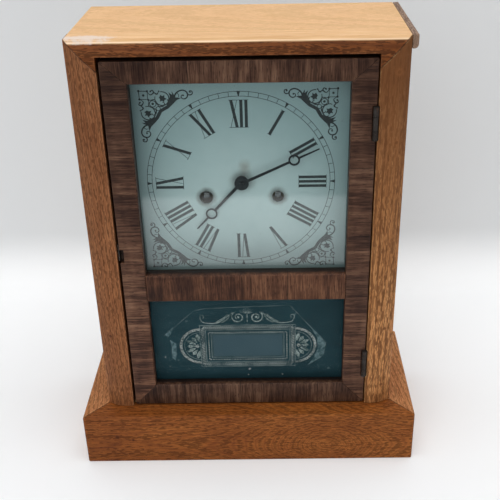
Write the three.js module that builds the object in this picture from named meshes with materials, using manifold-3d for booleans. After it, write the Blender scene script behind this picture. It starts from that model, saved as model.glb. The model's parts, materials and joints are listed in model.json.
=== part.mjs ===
// A cottage shelf clock with a rounded front frame, a two-light door and a spring-driven striking
// movement. Millimetres, +Z up. X runs to the right and the front faces -Y. The origin is the
// centre of the base's underside.
import * as THREE from 'three';
import { mergeVertices } from 'three/addons/utils/BufferGeometryUtils.js';
import Module from 'manifold-3d';

// ---- Driving dimensions -------------------------------------------------------------------------

// Clearances
const SEAM = 0.1; // between boards that are glued or nailed together
const PAST = 1; // how far a cutter runs past the face that it opens
const ROOTED = 0.5; // how deep a joined stud or pin stands in what carries it
const SEAT = 0.3; // between a fitted piece and the piece that carries it
const RUNNING = 0.3; // round a turning arbor, on its radius

// Base mouldings and case boards
const BASE_WIDTH = 245;
const BASE_DEPTH = 110;
const BASE_HEIGHT = 42.2;
const BASE_BOARD = 17.4;
const BASE_FALL = 0.9; // how much the base's top falls towards its outer edge
const BASE_ARRIS = 1.4;
const CASE_HEIGHT = 316.2;
const SIDE_BOARD = 12;
const TOP_BOARD = 12;
const BACK_BOARD = 6;
const BACK_BOARD_LIFT = 2;
const FLOOR_BOARD = 10;

// Rounded front frame
const FRAME_WIDTH = 19;
const FRAME_THICKNESS = 14; // behind the case's front corner
const FRAME_RISE = 5.1; // how far the round stands out in front of the corner
const FRAME_CREST = 14.5; // from the outer edge to the highest line of the round
const FRAME_TOP_RAIL = 10.1; // height left of the top rail above the door
const CORNICE_THICKNESS = 4;
const CORNICE_HEIGHT = 8.7;
const CORNICE_ROUND = 2.6;

// Door
const DOOR_FACE_SET = 4; // the door's face in front of the case's corner
const DOOR_THICKNESS = 15;
const DOOR_STILE = 16;
const DOOR_TOP_RAIL = 14.4;
const DOOR_MIDDLE_RAIL = 20.5;
const DOOR_MIDDLE_HEIGHT = 143.7; // the middle rail's centre above the ground
const DOOR_BOTTOM_RAIL = 17.3;
const DOOR_GAP_HINGE = 0.8;
const DOOR_GAP_LATCH = 1.8;
const DOOR_GAP_TOP = 2.9;
const DOOR_GAP_BOTTOM = 0.9;
const DOOR_ARRIS = 0.7;
const GLASS_SET = 7.5; // the rebate's shoulder behind the door's face
const GLASS_REBATE = 4;
const GLASS_THICKNESS = 2;
const PUTTY_DEPTH = 4.6;

// Hinges, each a pair of leaves on a loose pin
const HINGE_LENGTH = 22;
const HINGE_ABOVE = 35; // the lower hinge's middle above the door's bottom edge
const HINGE_BELOW = 41.2; // the upper hinge's middle below the door's top edge
const HINGE_RADIUS = 1.7;
const HINGE_PIN_RADIUS = 0.75;
const HINGE_LEAF = 0.9; // leaf thickness
const HINGE_LEAF_DEPTH = 11;
const HINGE_INSET = 0.7; // the pin's line inside the door's edge
const HINGE_PROUD = 0.9; // the pin's line in front of the door's face
const HINGE_KNUCKLE_SHARE = 0.28; // each end knuckle's share of the hinge's length

// Hook in the door's left edge
const LATCH_HEIGHT = 177;
const LATCH_THICKNESS = 0.8;
const LATCH_WIDTH = 2.2;
const LATCH_REACH = 11;
const LATCH_SLOT_DEPTH = 2.8;
const LATCH_SLOT_BELOW = 1.5; // room under the hanging hook
const LATCH_PIN_RADIUS = 0.6;
const LATCH_SCREW_DEPTH = 6;
const LATCH_PIN_DEPTH = 5;

// Dial
const DIAL_SET = 21; // the dial's face behind the case's front corner
const DIAL_THICKNESS = 0.9;
const DIAL_MARGIN = 2; // to the case's side boards
const DIAL_HEIGHT = 161;
const DIAL_HEADROOM = 4; // from the dial's top edge to the top board
const DIAL_BELOW_CENTRE = 74;
const DIAL_CENTRE_HOLE = 4.1;
const WINDING_HOLES = [4.6, 4.0]; // radii, left and right
const BATTEN_WIDTH = 11;
const BATTEN_DEPTH = 12;

// Hands
const CENTRE_X = -1;
const HAND_THICKNESS = 0.8;
const HAND_SPACING = 1.3; // from the dial to the hour hand, and from hand to hand
const MINUTE_HAND = {
  length: 57.6,
  ringAt: 39.2,
  ring: 3.95,
  ringHole: 2.7,
  hub: 4.9,
  stem: 1,
  angle: 65.1,
};
const HOUR_HAND = {
  length: 47,
  ringAt: 31.6,
  ring: 4.1,
  ringHole: 3,
  hub: 4.6,
  stem: 1.1,
  angle: 222.6,
};
const HAND_TIP = 0.35; // half width of a hand's point

// Movement: plates and what they stand on
const FRONT_PLATE_SET = 37; // front plate's face behind the case's front corner
const BLOCK_DEPTH = 8.9; // the wooden blocks between the back plate and the back board
const BLOCK_HEIGHT = 16;
const BLOCK_PAST = 4; // beyond the plate's sides
const BLOCK_RISE = 3; // beyond the plate's lower and upper edges
const PLATE_THICKNESS = 1.5;
const PLATE_HALF_WIDTH = 50;
const PLATE_BELOW = 43;
const PLATE_ABOVE = 60;
const PILLAR_RADIUS = 2.5;
const PILLAR_INSET = 5;
const PIVOT_RADIUS = 0.9;

// Wheels and lantern pinions
const WHEEL_THICKNESS = 1.2;
const WINDING_SPREAD = 24.6; // winding arbors to each side of the centre
const WINDING_DROP = 11.5; // and below it
const GREAT_TEETH = 48;
const GREAT_PINION = 8;
const GREAT_THICKNESS = 2;
const TRAIN_TEETH = 60;
const TRAIN_PINION = 6;
const TRAIN_MODULE = 0.7;
const FAST_MODULE = 0.6;
const ESCAPE_TEETH = 45;
const ESCAPE_RADIUS = 11;
const ESCAPE_DEPTH = 1.7;
const PIN_WHEEL_TEETH = 48;
const LOCKING_TEETH = 36;
const LOCKING_MODULE = 0.7;
const THICK_PIN = 0.5; // radii of the lantern pinions' pins
const THIN_PIN = 0.42;
const FINE_PIN = 0.36;
const PINION_CLEAR = 0.7; // from a lantern pinion's collars to the wheel between them
const PINION_COLLAR = 0.7;
const PINION_RIM = 0.5; // collar outside the pins
const ARBOR_RADIUS = 0.75;
const CENTRE_ARBOR_RADIUS = 1.3;
const CENTRE_PIPE_RADIUS = 2.3;
const WINDING_ARBOR_RADIUS = 3;
const WINDING_SQUARE = 3.8;
const WINDING_RECESS = 2.6; // from the dial's back to the square's end
const RATCHET_TEETH = 16;
const RATCHET_RADIUS = 8.5;
const RATCHET_DEPTH = 1.6;
const RATCHET_THICKNESS = 1.6;
const CLICK_OUT = 4.5; // the click's post outside the ratchet
const CLICK_THICKNESS = 1.4;
const SPRING_CLEAR = 0.7; // from the springs to the back plate
const SPRING_POST = 1;
const SPRING_STRIP = 0.6;
const SPRING_TURNS = 5;
const SPRING_OUTER = 21.5;

// Motion work
const CANNON_LEAVES = 12;
const MINUTE_WHEEL_TEETH = 36;
const MINUTE_PINION_LEAVES = 10;
const HOUR_WHEEL_TEETH = 40;
const MOTION_DISTANCE = 12.5;
const HOUR_PIPE_RADIUS = 2.9;

// Pendulum and gong
const PENDULUM_LENGTH = 159; // from the bending line to the bob's centre
const PENDULUM_OFFSET = 8.5; // the rod hangs this far left of the centre arbor
const PENDULUM_SET = 27.3; // the rod's axis behind the case's front corner
const ROD_RADIUS = 0.8;
const BOB_RADIUS = 13;
const BOB_THICKNESS = 8;
const BOB_EDGE = 1.2; // thickness at its rim
const ROD_BELOW_BOB = 6;
const BOB_NUT = { radius: 2.6, height: 2.6, gap: 0.8 };
const SUSPENSION_STRIP = { width: 3, thickness: 0.3, length: 8 };
const SUSPENSION_POST = { width: 5, ahead: 2.6, low: 2.4, high: 7, slot: 1 };
const SUSPENSION_RISE = 5; // the strip's upper end above the bending line
const GONG_RADIUS = 28;
const GONG_TURNS = 3.25;
const GONG_WIRE = 0.9;
const GONG_DROP = 104; // gong's centre below the centre arbor
const GONG_SET = 17.1; // the coil's line in front of the back board
const GONG_INNER = 6.4; // the coil's last radius
const GONG_CAP = { radius: 4, height: 3, shoulder: 1.5 };
const GONG_FOOT = { radius: 11, height: 4, taper: 1 };

// Verge, cock, hammer, fly and count wheel
const VERGE_RISE = 13.2; // above the escape wheel's arbor
const PALLET_CLEARANCE = 0.5;
const PALLET_THICKNESS = 1.8;
const SADDLE_RADIUS = 2;
const CRUTCH_ABOVE = 20; // the fork above the centre arbor
const CRUTCH_WIRE = 0.8;
const COCK = { left: 4, right: 21, half: 3, foot: 5 };
const HAMMER_OUT = 38; // the hammer's arbor left of the centre arbor and below it
const HAMMER_ELBOW = { left: 1, up: 24 };
const HAMMER_STRIP = 1.2;
const HAMMER_ROD = { radius: 0.6, straight: 20, bend: 30 };
const HEAD_RADIUS = 4;
const HEAD_LENGTH = 10;
const FLY_REACH = 9;
const FLY_THICKNESS = 0.5;
const FLY_CLEAR = 4.5; // from the blades to the back plate
const COUNT_PLACE = { left: 32, up: 28 };
const COUNT_RADIUS = 15;
const COUNT_SLOT_DEPTH = 2.2;
const COUNT_STUD = 1.2;

// ---- Worked out from them -----------------------------------------------------------------------

const CASE_HALF = BASE_WIDTH / 2 - BASE_BOARD;
const CASE_FRONT = -BASE_DEPTH / 2 + BASE_BOARD;
const CASE_BACK = BASE_DEPTH / 2;
const BASE_TOP = BASE_HEIGHT + BASE_FALL;
const INNER_HALF = CASE_HALF - SIDE_BOARD;
const FRAME_BACK = CASE_FRONT + FRAME_THICKNESS;
const BACK_INNER = CASE_BACK - BACK_BOARD;
const OPENING_HALF = CASE_HALF - FRAME_WIDTH;
const OPENING_TOP = CASE_HEIGHT - FRAME_TOP_RAIL;
const DOOR_FACE = CASE_FRONT - DOOR_FACE_SET;
const DOOR_BACK = DOOR_FACE + DOOR_THICKNESS;
const DOOR_LEFT = -OPENING_HALF + DOOR_GAP_LATCH;
const DOOR_RIGHT = OPENING_HALF - DOOR_GAP_HINGE;
const DOOR_BOTTOM = BASE_TOP + DOOR_GAP_BOTTOM;
const DOOR_TOP = OPENING_TOP - DOOR_GAP_TOP;
const SIGHT_LEFT = DOOR_LEFT + DOOR_STILE;
const SIGHT_RIGHT = DOOR_RIGHT - DOOR_STILE;
const MIDDLE_BOTTOM = DOOR_MIDDLE_HEIGHT - DOOR_MIDDLE_RAIL / 2;
const MIDDLE_TOP = DOOR_MIDDLE_HEIGHT + DOOR_MIDDLE_RAIL / 2;
const HINGE_X = DOOR_RIGHT - HINGE_INSET;
const HINGE_Y = DOOR_FACE - HINGE_PROUD;
const DIAL_FACE = CASE_FRONT + DIAL_SET;
const DIAL_BACK = DIAL_FACE + DIAL_THICKNESS;
const HOUR_HAND_BACK = DIAL_FACE - HAND_SPACING;
const MINUTE_HAND_BACK = HOUR_HAND_BACK - HAND_THICKNESS - HAND_SPACING;
const DIAL_TOP = CASE_HEIGHT - TOP_BOARD - DIAL_HEADROOM;
const DIAL_LOW = DIAL_TOP - DIAL_HEIGHT;
const CENTRE_Z = DIAL_LOW + DIAL_BELOW_CENTRE;
const HINGE_HEIGHTS = [DOOR_BOTTOM + HINGE_ABOVE, DOOR_TOP - HINGE_BELOW];
const FRONT_PLATE = CASE_FRONT + FRONT_PLATE_SET;
const PLATES_INSIDE = FRONT_PLATE + PLATE_THICKNESS;
const BACK_PLATE = BACK_INNER - 2 * SEAM - BLOCK_DEPTH - PLATE_THICKNESS;
const ROD_Y = CASE_FRONT + PENDULUM_SET;

// Layers of the movement: each wheel's front face behind the front plate's inner face. The great
// wheels are named time and strike. The strike side's runs behind the centre pinion, clear of it.
const LAYER = { third: 1.8, pin: 3.6, centre: 6, time: 11, strike: 15.2, locking: 18, fly: 22 };
const RATCHET_AHEAD = 2.8; // from a great wheel's face to its ratchet's
const SPRING_BEHIND = 3.6; // and to its mainspring's
const SPRING_WIDTH = BACK_PLATE - SPRING_CLEAR - PLATES_INSIDE - LAYER.strike - SPRING_BEHIND;
// and each outer piece's front face in front of the front plate
const AHEAD = { count: 2.1, escape: 4.6, minute: 4.2, cannon: 4.8, cock: 6.6, hour: 7.2, crutch: 7.75 };

const wasm = await Module();
wasm.setup();
const clock = new THREE.Group();

// ---- Materials ----------------------------------------------------------------------------------

const finish = (color, roughness, metalness = 0) =>
  new THREE.MeshStandardMaterial({ color, roughness, metalness });
const OAK = finish(0x8a5730, 0.45);
const DARK_VENEER = finish(0x4a2f26, 0.4);
const PINE = finish(0xc09a68, 0.8);
const PUTTY = finish(0x3c342c, 0.9);
const DIAL_PAINT = finish(0xd6dad4, 0.5);
const CLEAR_GLASS = finish(0xcfe0e2, 0.05);
const PAINTED_GLASS = finish(0x1e333c, 0.15);
const BRASS = finish(0xb08d4a, 0.35, 1);
const STEEL = finish(0x8b8d8f, 0.35, 1);
const BLUED_STEEL = finish(0x14161a, 0.4, 1);
const IRON = finish(0x2b2724, 0.6, 0.8);

// ---- Directions ---------------------------------------------------------------------------------

const RIGHT = new THREE.Vector3(1, 0, 0);
const LEFT = new THREE.Vector3(-1, 0, 0);
const UP = new THREE.Vector3(0, 0, 1);
const DOWN = new THREE.Vector3(0, 0, -1);
const FRONTWARD = new THREE.Vector3(0, -1, 0);
const BACKWARD = new THREE.Vector3(0, 1, 0);

// ---- Shape helpers ------------------------------------------------------------------------------

const TAU = 2 * Math.PI;
const HOLE_SIDES = 10;

function asSolid(geometry) {
  const bare = geometry.clone();
  bare.deleteAttribute('normal');
  bare.deleteAttribute('uv');
  const merged = mergeVertices(bare, 1e-4);
  const corners = merged.index.array;
  const kept = [];
  for (let i = 0; i < corners.length; i += 3) {
    const [a, b, c] = [corners[i], corners[i + 1], corners[i + 2]];
    if (a !== b && b !== c && a !== c) kept.push(a, b, c);
  }
  return new wasm.Manifold(new wasm.Mesh({
    numProp: 3,
    vertProperties: new Float32Array(merged.attributes.position.array),
    triVerts: new Uint32Array(kept),
  }));
}

function asGeometry(solid) {
  const { vertProperties, triVerts } = solid.getMesh();
  const geometry = new THREE.BufferGeometry();
  geometry.setAttribute('position', new THREE.BufferAttribute(vertProperties, 3));
  geometry.setIndex(new THREE.BufferAttribute(triVerts, 1));
  return geometry;
}

function join(...pieces) {
  return asGeometry(pieces.map(asSolid).reduce((whole, piece) => whole.add(piece)));
}

function cut(piece, ...tools) {
  return asGeometry(tools.map(asSolid).reduce((whole, tool) => whole.subtract(tool), asSolid(piece)));
}

function box([x0, x1], [y0, y1], [z0, z1]) {
  const block = new THREE.BoxGeometry(x1 - x0, y1 - y0, z1 - z0);
  return block.translate((x0 + x1) / 2, (y0 + y1) / 2, (z0 + z1) / 2);
}

// A flat outline drawn in X and Z, from its front face at y to its back.
function plate(outline, y, thickness, curveSegments = 12) {
  const settings = { depth: thickness, bevelEnabled: false, curveSegments };
  const slab = new THREE.ExtrudeGeometry(outline, settings);
  return slab.rotateX(Math.PI / 2).translate(0, y + thickness, 0);
}

function rodY(x, z, radius, y0, y1, sides = 12) {
  return new THREE.CylinderGeometry(radius, radius, y1 - y0, sides).translate(x, (y0 + y1) / 2, z);
}

function rodZ(x, y, radius, z0, z1, sides = 12) {
  const rod = new THREE.CylinderGeometry(radius, radius, z1 - z0, sides);
  return rod.rotateX(Math.PI / 2).translate(x, y, (z0 + z1) / 2);
}

function rodX(y, z, radius, x0, x1, sides = 10) {
  const rod = new THREE.CylinderGeometry(radius, radius, x1 - x0, sides);
  return rod.rotateZ(Math.PI / 2).translate((x0 + x1) / 2, y, z);
}

// A round piece turned about a line along Y; points are [radius, y].
function turned(x, z, points, sides = 20) {
  const profile = points.map(([radius, y]) => new THREE.Vector2(radius, y));
  return new THREE.LatheGeometry(profile, sides).translate(x, 0, z);
}

function wire(points, radius, sides = 6, steps = 3 * points.length) {
  const section = new THREE.Shape();
  for (let i = 0; i < sides; i += 1) {
    const turn = (TAU * i) / sides;
    const corner = [radius * Math.cos(turn), radius * Math.sin(turn)];
    if (i === 0) section.moveTo(...corner);
    else section.lineTo(...corner);
  }
  const extrudePath = new THREE.CatmullRomCurve3(points.map((p) => new THREE.Vector3(...p)));
  return new THREE.ExtrudeGeometry(section, { steps, extrudePath, bevelEnabled: false });
}

function polygon(points) {
  return new THREE.Shape(points.map(([x, y]) => new THREE.Vector2(x, y)));
}

function rectangle([x0, x1], [y0, y1]) {
  return polygon([[x0, y0], [x1, y0], [x1, y1], [x0, y1]]);
}

// A round hole whose flats stand clear of the radius.
function circleHole(x, y, radius, sides = HOLE_SIDES) {
  const corner = radius / Math.cos(Math.PI / sides);
  return polygon(Array.from({ length: sides }, (_, i) => {
    const turn = (TAU * i) / sides;
    return [x + corner * Math.cos(turn), y + corner * Math.sin(turn)];
  }));
}

// A flat outline drawn in Y and Z, from x towards the right.
function sideSlab(outline, x, thickness) {
  const slab = new THREE.ExtrudeGeometry(outline, { depth: thickness, bevelEnabled: false });
  return slab.applyMatrix4(new THREE.Matrix4().makeBasis(BACKWARD, UP, RIGHT).setPosition(x, 0, 0));
}

// A length of moulding. Its profile's x is the distance in from the outer edge, and its y points
// forward. Each end is cut back by its mitre times the distance in: 0 is square, 1 is 45 degrees.
function moulding(profile, length, mitreStart = 0, mitreEnd = 0, curveSegments = 8) {
  const bar = new THREE.ExtrudeGeometry(profile, { depth: length, bevelEnabled: false, curveSegments });
  const place = bar.attributes.position;
  for (let i = 0; i < place.count; i += 1) {
    const inward = place.getX(i);
    const atStart = place.getZ(i) < length / 2;
    place.setZ(i, atStart ? inward * mitreStart : length - inward * mitreEnd);
  }
  return bar;
}

// Lays a moulding with its first point at start, its width running inward and its length along.
function lay(bar, start, inward, forward) {
  const along = new THREE.Vector3().crossVectors(inward, forward);
  return bar.applyMatrix4(new THREE.Matrix4().makeBasis(inward, forward, along).setPosition(...start));
}

function add(name, geometry, material) {
  const mesh = new THREE.Mesh(geometry, material);
  mesh.name = name;
  clock.add(mesh);
}

// ---- Base and case boards -----------------------------------------------------------------------

function baseProfile() {
  const inner = BASE_BOARD - SEAM;
  const profile = new THREE.Shape();
  profile.moveTo(0, 0);
  profile.lineTo(0, BASE_HEIGHT - BASE_ARRIS);
  profile.absarc(BASE_ARRIS, BASE_HEIGHT - BASE_ARRIS, BASE_ARRIS, Math.PI, Math.PI / 2, true);
  profile.lineTo(inner, BASE_TOP);
  profile.lineTo(inner, 0);
  return profile;
}

function addBase() {
  const half = BASE_WIDTH / 2;
  const front = moulding(baseProfile(), BASE_WIDTH, 1, 1, 4);
  add('base_front', lay(front, [-half, -BASE_DEPTH / 2, 0], BACKWARD, UP), OAK);
  const sideLength = BASE_DEPTH - SEAM;
  const left = moulding(baseProfile(), sideLength, 0, 1, 4);
  add('base_left', lay(left, [-half, CASE_BACK, 0], RIGHT, UP), OAK);
  const right = moulding(baseProfile(), sideLength, 1, 0, 4);
  add('base_right', lay(right, [half, CASE_BACK - sideLength, 0], LEFT, UP), OAK);
}

// Each side board is notched at the front for the frame's stile, which stands in the notch.
function addCaseBoards() {
  const boardTop = CASE_HEIGHT - TOP_BOARD - SEAM;
  const side = polygon([
    [CASE_FRONT, 0],
    [CASE_BACK, 0],
    [CASE_BACK, boardTop],
    [FRAME_BACK + SEAM, boardTop],
    [FRAME_BACK + SEAM, BASE_TOP],
    [CASE_FRONT, BASE_TOP],
  ]);
  add('side_left', sideSlab(side, -CASE_HALF, SIDE_BOARD), OAK);
  add('side_right', sideSlab(side, INNER_HALF, SIDE_BOARD), OAK);
  const topDepth = [FRAME_BACK + SEAM, CASE_BACK];
  const topTall = [CASE_HEIGHT - TOP_BOARD, CASE_HEIGHT];
  add('top_board', box([-CASE_HALF, CASE_HALF], topDepth, topTall), OAK);
  const between = [-INNER_HALF + SEAM, INNER_HALF - SEAM];
  add('back_board', box(between, [BACK_INNER, CASE_BACK], [BACK_BOARD_LIFT, boardTop]), PINE);
  const floorDepth = [CASE_FRONT, BACK_INNER - SEAM];
  add('floor_board', box(between, floorDepth, [BASE_TOP - FLOOR_BOARD, BASE_TOP]), PINE);
}

// The small strip left of the cornice, along the top of the right side.
function addCorniceStrip() {
  const inner = CASE_HALF + SEAM;
  const outer = CASE_HALF + CORNICE_THICKNESS;
  const bottom = CASE_HEIGHT - CORNICE_HEIGHT;
  const section = new THREE.Shape();
  section.moveTo(inner, CASE_HEIGHT);
  section.lineTo(inner, bottom);
  section.lineTo(outer - CORNICE_ROUND, bottom);
  section.absarc(outer - CORNICE_ROUND, bottom + CORNICE_ROUND, CORNICE_ROUND, -Math.PI / 2, 0);
  section.lineTo(outer, CASE_HEIGHT);
  add('cornice_strip', plate(section, CASE_FRONT, CASE_BACK - CASE_FRONT, 5), OAK);
}

// ---- Rounded front frame ------------------------------------------------------------------------

function frameProfile() {
  const radius = (FRAME_CREST ** 2 + FRAME_RISE ** 2) / (2 * FRAME_RISE);
  const centre = FRAME_RISE - radius;
  const start = Math.atan2(-centre, -FRAME_CREST);
  const end = Math.acos((FRAME_WIDTH - FRAME_CREST) / radius);
  const profile = new THREE.Shape();
  profile.moveTo(0, -FRAME_THICKNESS);
  profile.lineTo(0, 0);
  profile.absarc(FRAME_CREST, centre, radius, start, end, true);
  profile.lineTo(FRAME_WIDTH, -FRAME_THICKNESS);
  return profile;
}

// The bed cut in the stile for one hinge's leaf and knuckles.
function frameHingeBed(height) {
  const half = HINGE_LENGTH / 2 + SEAT;
  const bed = OPENING_HALF + HINGE_LEAF / 2 + SEAT;
  const front = CASE_FRONT - FRAME_RISE - SEAT;
  const deep = [front, HINGE_Y + HINGE_LEAF_DEPTH + SEAT];
  return box([OPENING_HALF - PAST, bed], deep, [height - half, height + half]);
}

function addFrontFrame() {
  const height = CASE_HEIGHT - BASE_TOP - 2 * SEAM;
  const left = moulding(frameProfile(), height, 1, 0);
  const leftStile = lay(left, [-CASE_HALF, CASE_FRONT, CASE_HEIGHT - SEAM], RIGHT, FRONTWARD);
  add('frame_left', cut(leftStile, latchPin(LATCH_PIN_RADIUS + SEAM)), OAK);
  const right = moulding(frameProfile(), height, 0, 1);
  const rightStile = lay(right, [CASE_HALF, CASE_FRONT, BASE_TOP + SEAM], LEFT, FRONTWARD);
  add('frame_right', cut(rightStile, ...HINGE_HEIGHTS.map(frameHingeBed)), OAK);
  const top = moulding(frameProfile(), 2 * CASE_HALF, 1, 1);
  const rail = lay(top, [CASE_HALF, CASE_FRONT, CASE_HEIGHT], DOWN, FRONTWARD);
  const through = [CASE_FRONT - BASE_BOARD, FRAME_BACK + PAST];
  const doorway = box([-OPENING_HALF, OPENING_HALF], through, [BASE_TOP, OPENING_TOP]);
  add('frame_top', cut(rail, doorway), OAK);
}

// ---- Door ---------------------------------------------------------------------------------------

function doorProfile(width) {
  return polygon([
    [0, -DOOR_THICKNESS],
    [0, 0],
    [width - DOOR_ARRIS, 0],
    [width, -DOOR_ARRIS],
    [width, -GLASS_SET],
    [width - GLASS_REBATE, -GLASS_SET],
    [width - GLASS_REBATE, -DOOR_THICKNESS],
  ]);
}

// The bed cut in the door's edge for one hinge's leaf, and the notch for its knuckles.
function doorHingeBed(height) {
  const half = HINGE_LENGTH / 2 + SEAT;
  const tall = [height - half, height + half];
  const past = DOOR_RIGHT + PAST;
  const bed = DOOR_RIGHT - HINGE_LEAF - SEAT;
  const leaf = box([bed, past], [DOOR_FACE - PAST, HINGE_Y + HINGE_LEAF_DEPTH + SEAT], tall);
  const notch = HINGE_RADIUS + SEAT;
  return join(leaf, box([HINGE_X - notch, past], [DOOR_FACE - PAST, HINGE_Y + notch], tall));
}

function latchSlot() {
  const wide = [DOOR_LEFT - PAST, DOOR_LEFT + LATCH_SLOT_DEPTH];
  const deep = [DOOR_FACE - PAST, DOOR_FACE + 2 * LATCH_WIDTH];
  const low = LATCH_HEIGHT - LATCH_REACH - LATCH_SLOT_BELOW;
  return box(wide, deep, [low, LATCH_HEIGHT - LATCH_WIDTH]);
}

function middleRail() {
  const shoulder = DOOR_FACE + GLASS_SET;
  const backLow = MIDDLE_BOTTOM + GLASS_REBATE;
  const backHigh = MIDDLE_TOP - GLASS_REBATE;
  const section = polygon([
    [DOOR_FACE, MIDDLE_BOTTOM + DOOR_ARRIS],
    [DOOR_FACE + DOOR_ARRIS, MIDDLE_BOTTOM],
    [shoulder, MIDDLE_BOTTOM],
    [shoulder, backLow],
    [DOOR_BACK, backLow],
    [DOOR_BACK, backHigh],
    [shoulder, backHigh],
    [shoulder, MIDDLE_TOP],
    [DOOR_FACE + DOOR_ARRIS, MIDDLE_TOP],
    [DOOR_FACE, MIDDLE_TOP - DOOR_ARRIS],
  ]);
  const bar = sideSlab(section, SIGHT_LEFT + SEAM, SIGHT_RIGHT - SIGHT_LEFT - 2 * SEAM);
  const tenons = [SIGHT_LEFT - GLASS_REBATE + SEAM, SIGHT_RIGHT + GLASS_REBATE - SEAM];
  return join(bar, box(tenons, [shoulder + SEAM, DOOR_BACK], [backLow, backHigh]));
}

function addDoorFrame() {
  const height = DOOR_TOP - DOOR_BOTTOM;
  const width = DOOR_RIGHT - DOOR_LEFT;
  const topMitre = DOOR_TOP_RAIL / DOOR_STILE;
  const bottomMitre = DOOR_BOTTOM_RAIL / DOOR_STILE;
  const left = moulding(doorProfile(DOOR_STILE), height - 2 * SEAM, topMitre, bottomMitre);
  const leftStile = lay(left, [DOOR_LEFT, DOOR_FACE, DOOR_TOP - SEAM], RIGHT, FRONTWARD);
  const screwHole = latchScrew(LATCH_PIN_RADIUS + SEAM);
  add('door_stile_left', cut(leftStile, latchSlot(), screwHole), DARK_VENEER);
  const right = moulding(doorProfile(DOOR_STILE), height - 2 * SEAM, bottomMitre, topMitre);
  const rightStile = lay(right, [DOOR_RIGHT, DOOR_FACE, DOOR_BOTTOM + SEAM], LEFT, FRONTWARD);
  add('door_stile_right', cut(rightStile, ...HINGE_HEIGHTS.map(doorHingeBed)), DARK_VENEER);
  const top = moulding(doorProfile(DOOR_TOP_RAIL), width, 1 / topMitre, 1 / topMitre);
  add('door_rail_top', lay(top, [DOOR_RIGHT, DOOR_FACE, DOOR_TOP], DOWN, FRONTWARD), DARK_VENEER);
  const bottom = moulding(doorProfile(DOOR_BOTTOM_RAIL), width, 1 / bottomMitre, 1 / bottomMitre);
  const bottomRail = lay(bottom, [DOOR_LEFT, DOOR_FACE, DOOR_BOTTOM], UP, FRONTWARD);
  add('door_rail_bottom', bottomRail, DARK_VENEER);
  add('door_rail_middle', middleRail(), DARK_VENEER);
}

// One pane in its rebate, and the line of putty round it. The sight runs from low to high.
function addPane(glassName, puttyName, low, high, material) {
  const inset = GLASS_REBATE - SEAT;
  const wide = [SIGHT_LEFT - inset, SIGHT_RIGHT + inset];
  const tall = [low - inset, high + inset];
  const front = DOOR_FACE + GLASS_SET + SEAM;
  const back = front + GLASS_THICKNESS;
  add(glassName, box(wide, [front, back], tall), material);
  const ring = rectangle(wide, tall);
  ring.holes.push(rectangle([SIGHT_LEFT, SIGHT_RIGHT], [low, high]));
  add(puttyName, plate(ring, back + SEAM, PUTTY_DEPTH), PUTTY);
}

function addGlass() {
  addPane('glass_dial', 'putty_dial', MIDDLE_TOP, DOOR_TOP - DOOR_TOP_RAIL, CLEAR_GLASS);
  const tabletLow = DOOR_BOTTOM + DOOR_BOTTOM_RAIL;
  addPane('glass_tablet', 'putty_tablet', tabletLow, MIDDLE_BOTTOM, PAINTED_GLASS);
}

// ---- Hinges and latch ---------------------------------------------------------------------------

// Two leaves let into the wood. The case's leaf carries the end knuckles and the pin.
function addHinge(name, height) {
  const low = height - HINGE_LENGTH / 2;
  const high = height + HINGE_LENGTH / 2;
  const knuckle = HINGE_LENGTH * HINGE_KNUCKLE_SHARE;
  const behind = HINGE_Y + HINGE_RADIUS + RUNNING;
  const leafDepth = [behind, HINGE_Y + HINGE_LEAF_DEPTH];
  const rootDepth = [HINGE_Y, behind + SEAM];
  const caseWide = [OPENING_HALF - HINGE_LEAF / 2, OPENING_HALF + HINGE_LEAF / 2];
  const doorWide = [DOOR_RIGHT - HINGE_LEAF, DOOR_RIGHT];
  const ends = [[low, low + knuckle], [high - knuckle, high]];
  const middle = [low + knuckle + RUNNING, high - knuckle - RUNNING];
  const casePieces = ends.flatMap((tall) => [
    rodZ(HINGE_X, HINGE_Y, HINGE_RADIUS, ...tall),
    box(caseWide, rootDepth, tall),
  ]);
  const pin = rodZ(HINGE_X, HINGE_Y, HINGE_PIN_RADIUS, low, high, 8);
  const caseLeaf = join(box(caseWide, leafDepth, [low, high]), pin, ...casePieces);
  add(`hinge_leaf_case_${name}`, caseLeaf, IRON);
  const doorLeaf = join(
    box(doorWide, leafDepth, [low, high]),
    box(doorWide, rootDepth, middle),
    rodZ(HINGE_X, HINGE_Y, HINGE_RADIUS, ...middle),
  );
  const bore = rodZ(HINGE_X, HINGE_Y, HINGE_PIN_RADIUS + RUNNING, low, high);
  add(`hinge_leaf_door_${name}`, cut(doorLeaf, bore), IRON);
}

// The hook hangs in the gap at the door's left edge. Turned back a quarter turn, its nose rises
// behind a pin in the frame.
const HOOK_X = DOOR_LEFT - SEAT - LATCH_THICKNESS;
const HOOK_Y = DOOR_FACE + LATCH_WIDTH;

function latchScrew(radius) {
  return rodX(HOOK_Y, LATCH_HEIGHT, radius, HOOK_X, DOOR_LEFT + LATCH_SCREW_DEPTH);
}

function latchPin(radius) {
  const y = HOOK_Y + LATCH_REACH - LATCH_WIDTH / 2 - LATCH_PIN_RADIUS - SEAT;
  const z = LATCH_HEIGHT + LATCH_WIDTH / 2 + LATCH_PIN_RADIUS + SEAT;
  return rodX(y, z, radius, -OPENING_HALF - LATCH_PIN_DEPTH, HOOK_X + LATCH_THICKNESS / 2);
}

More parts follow.
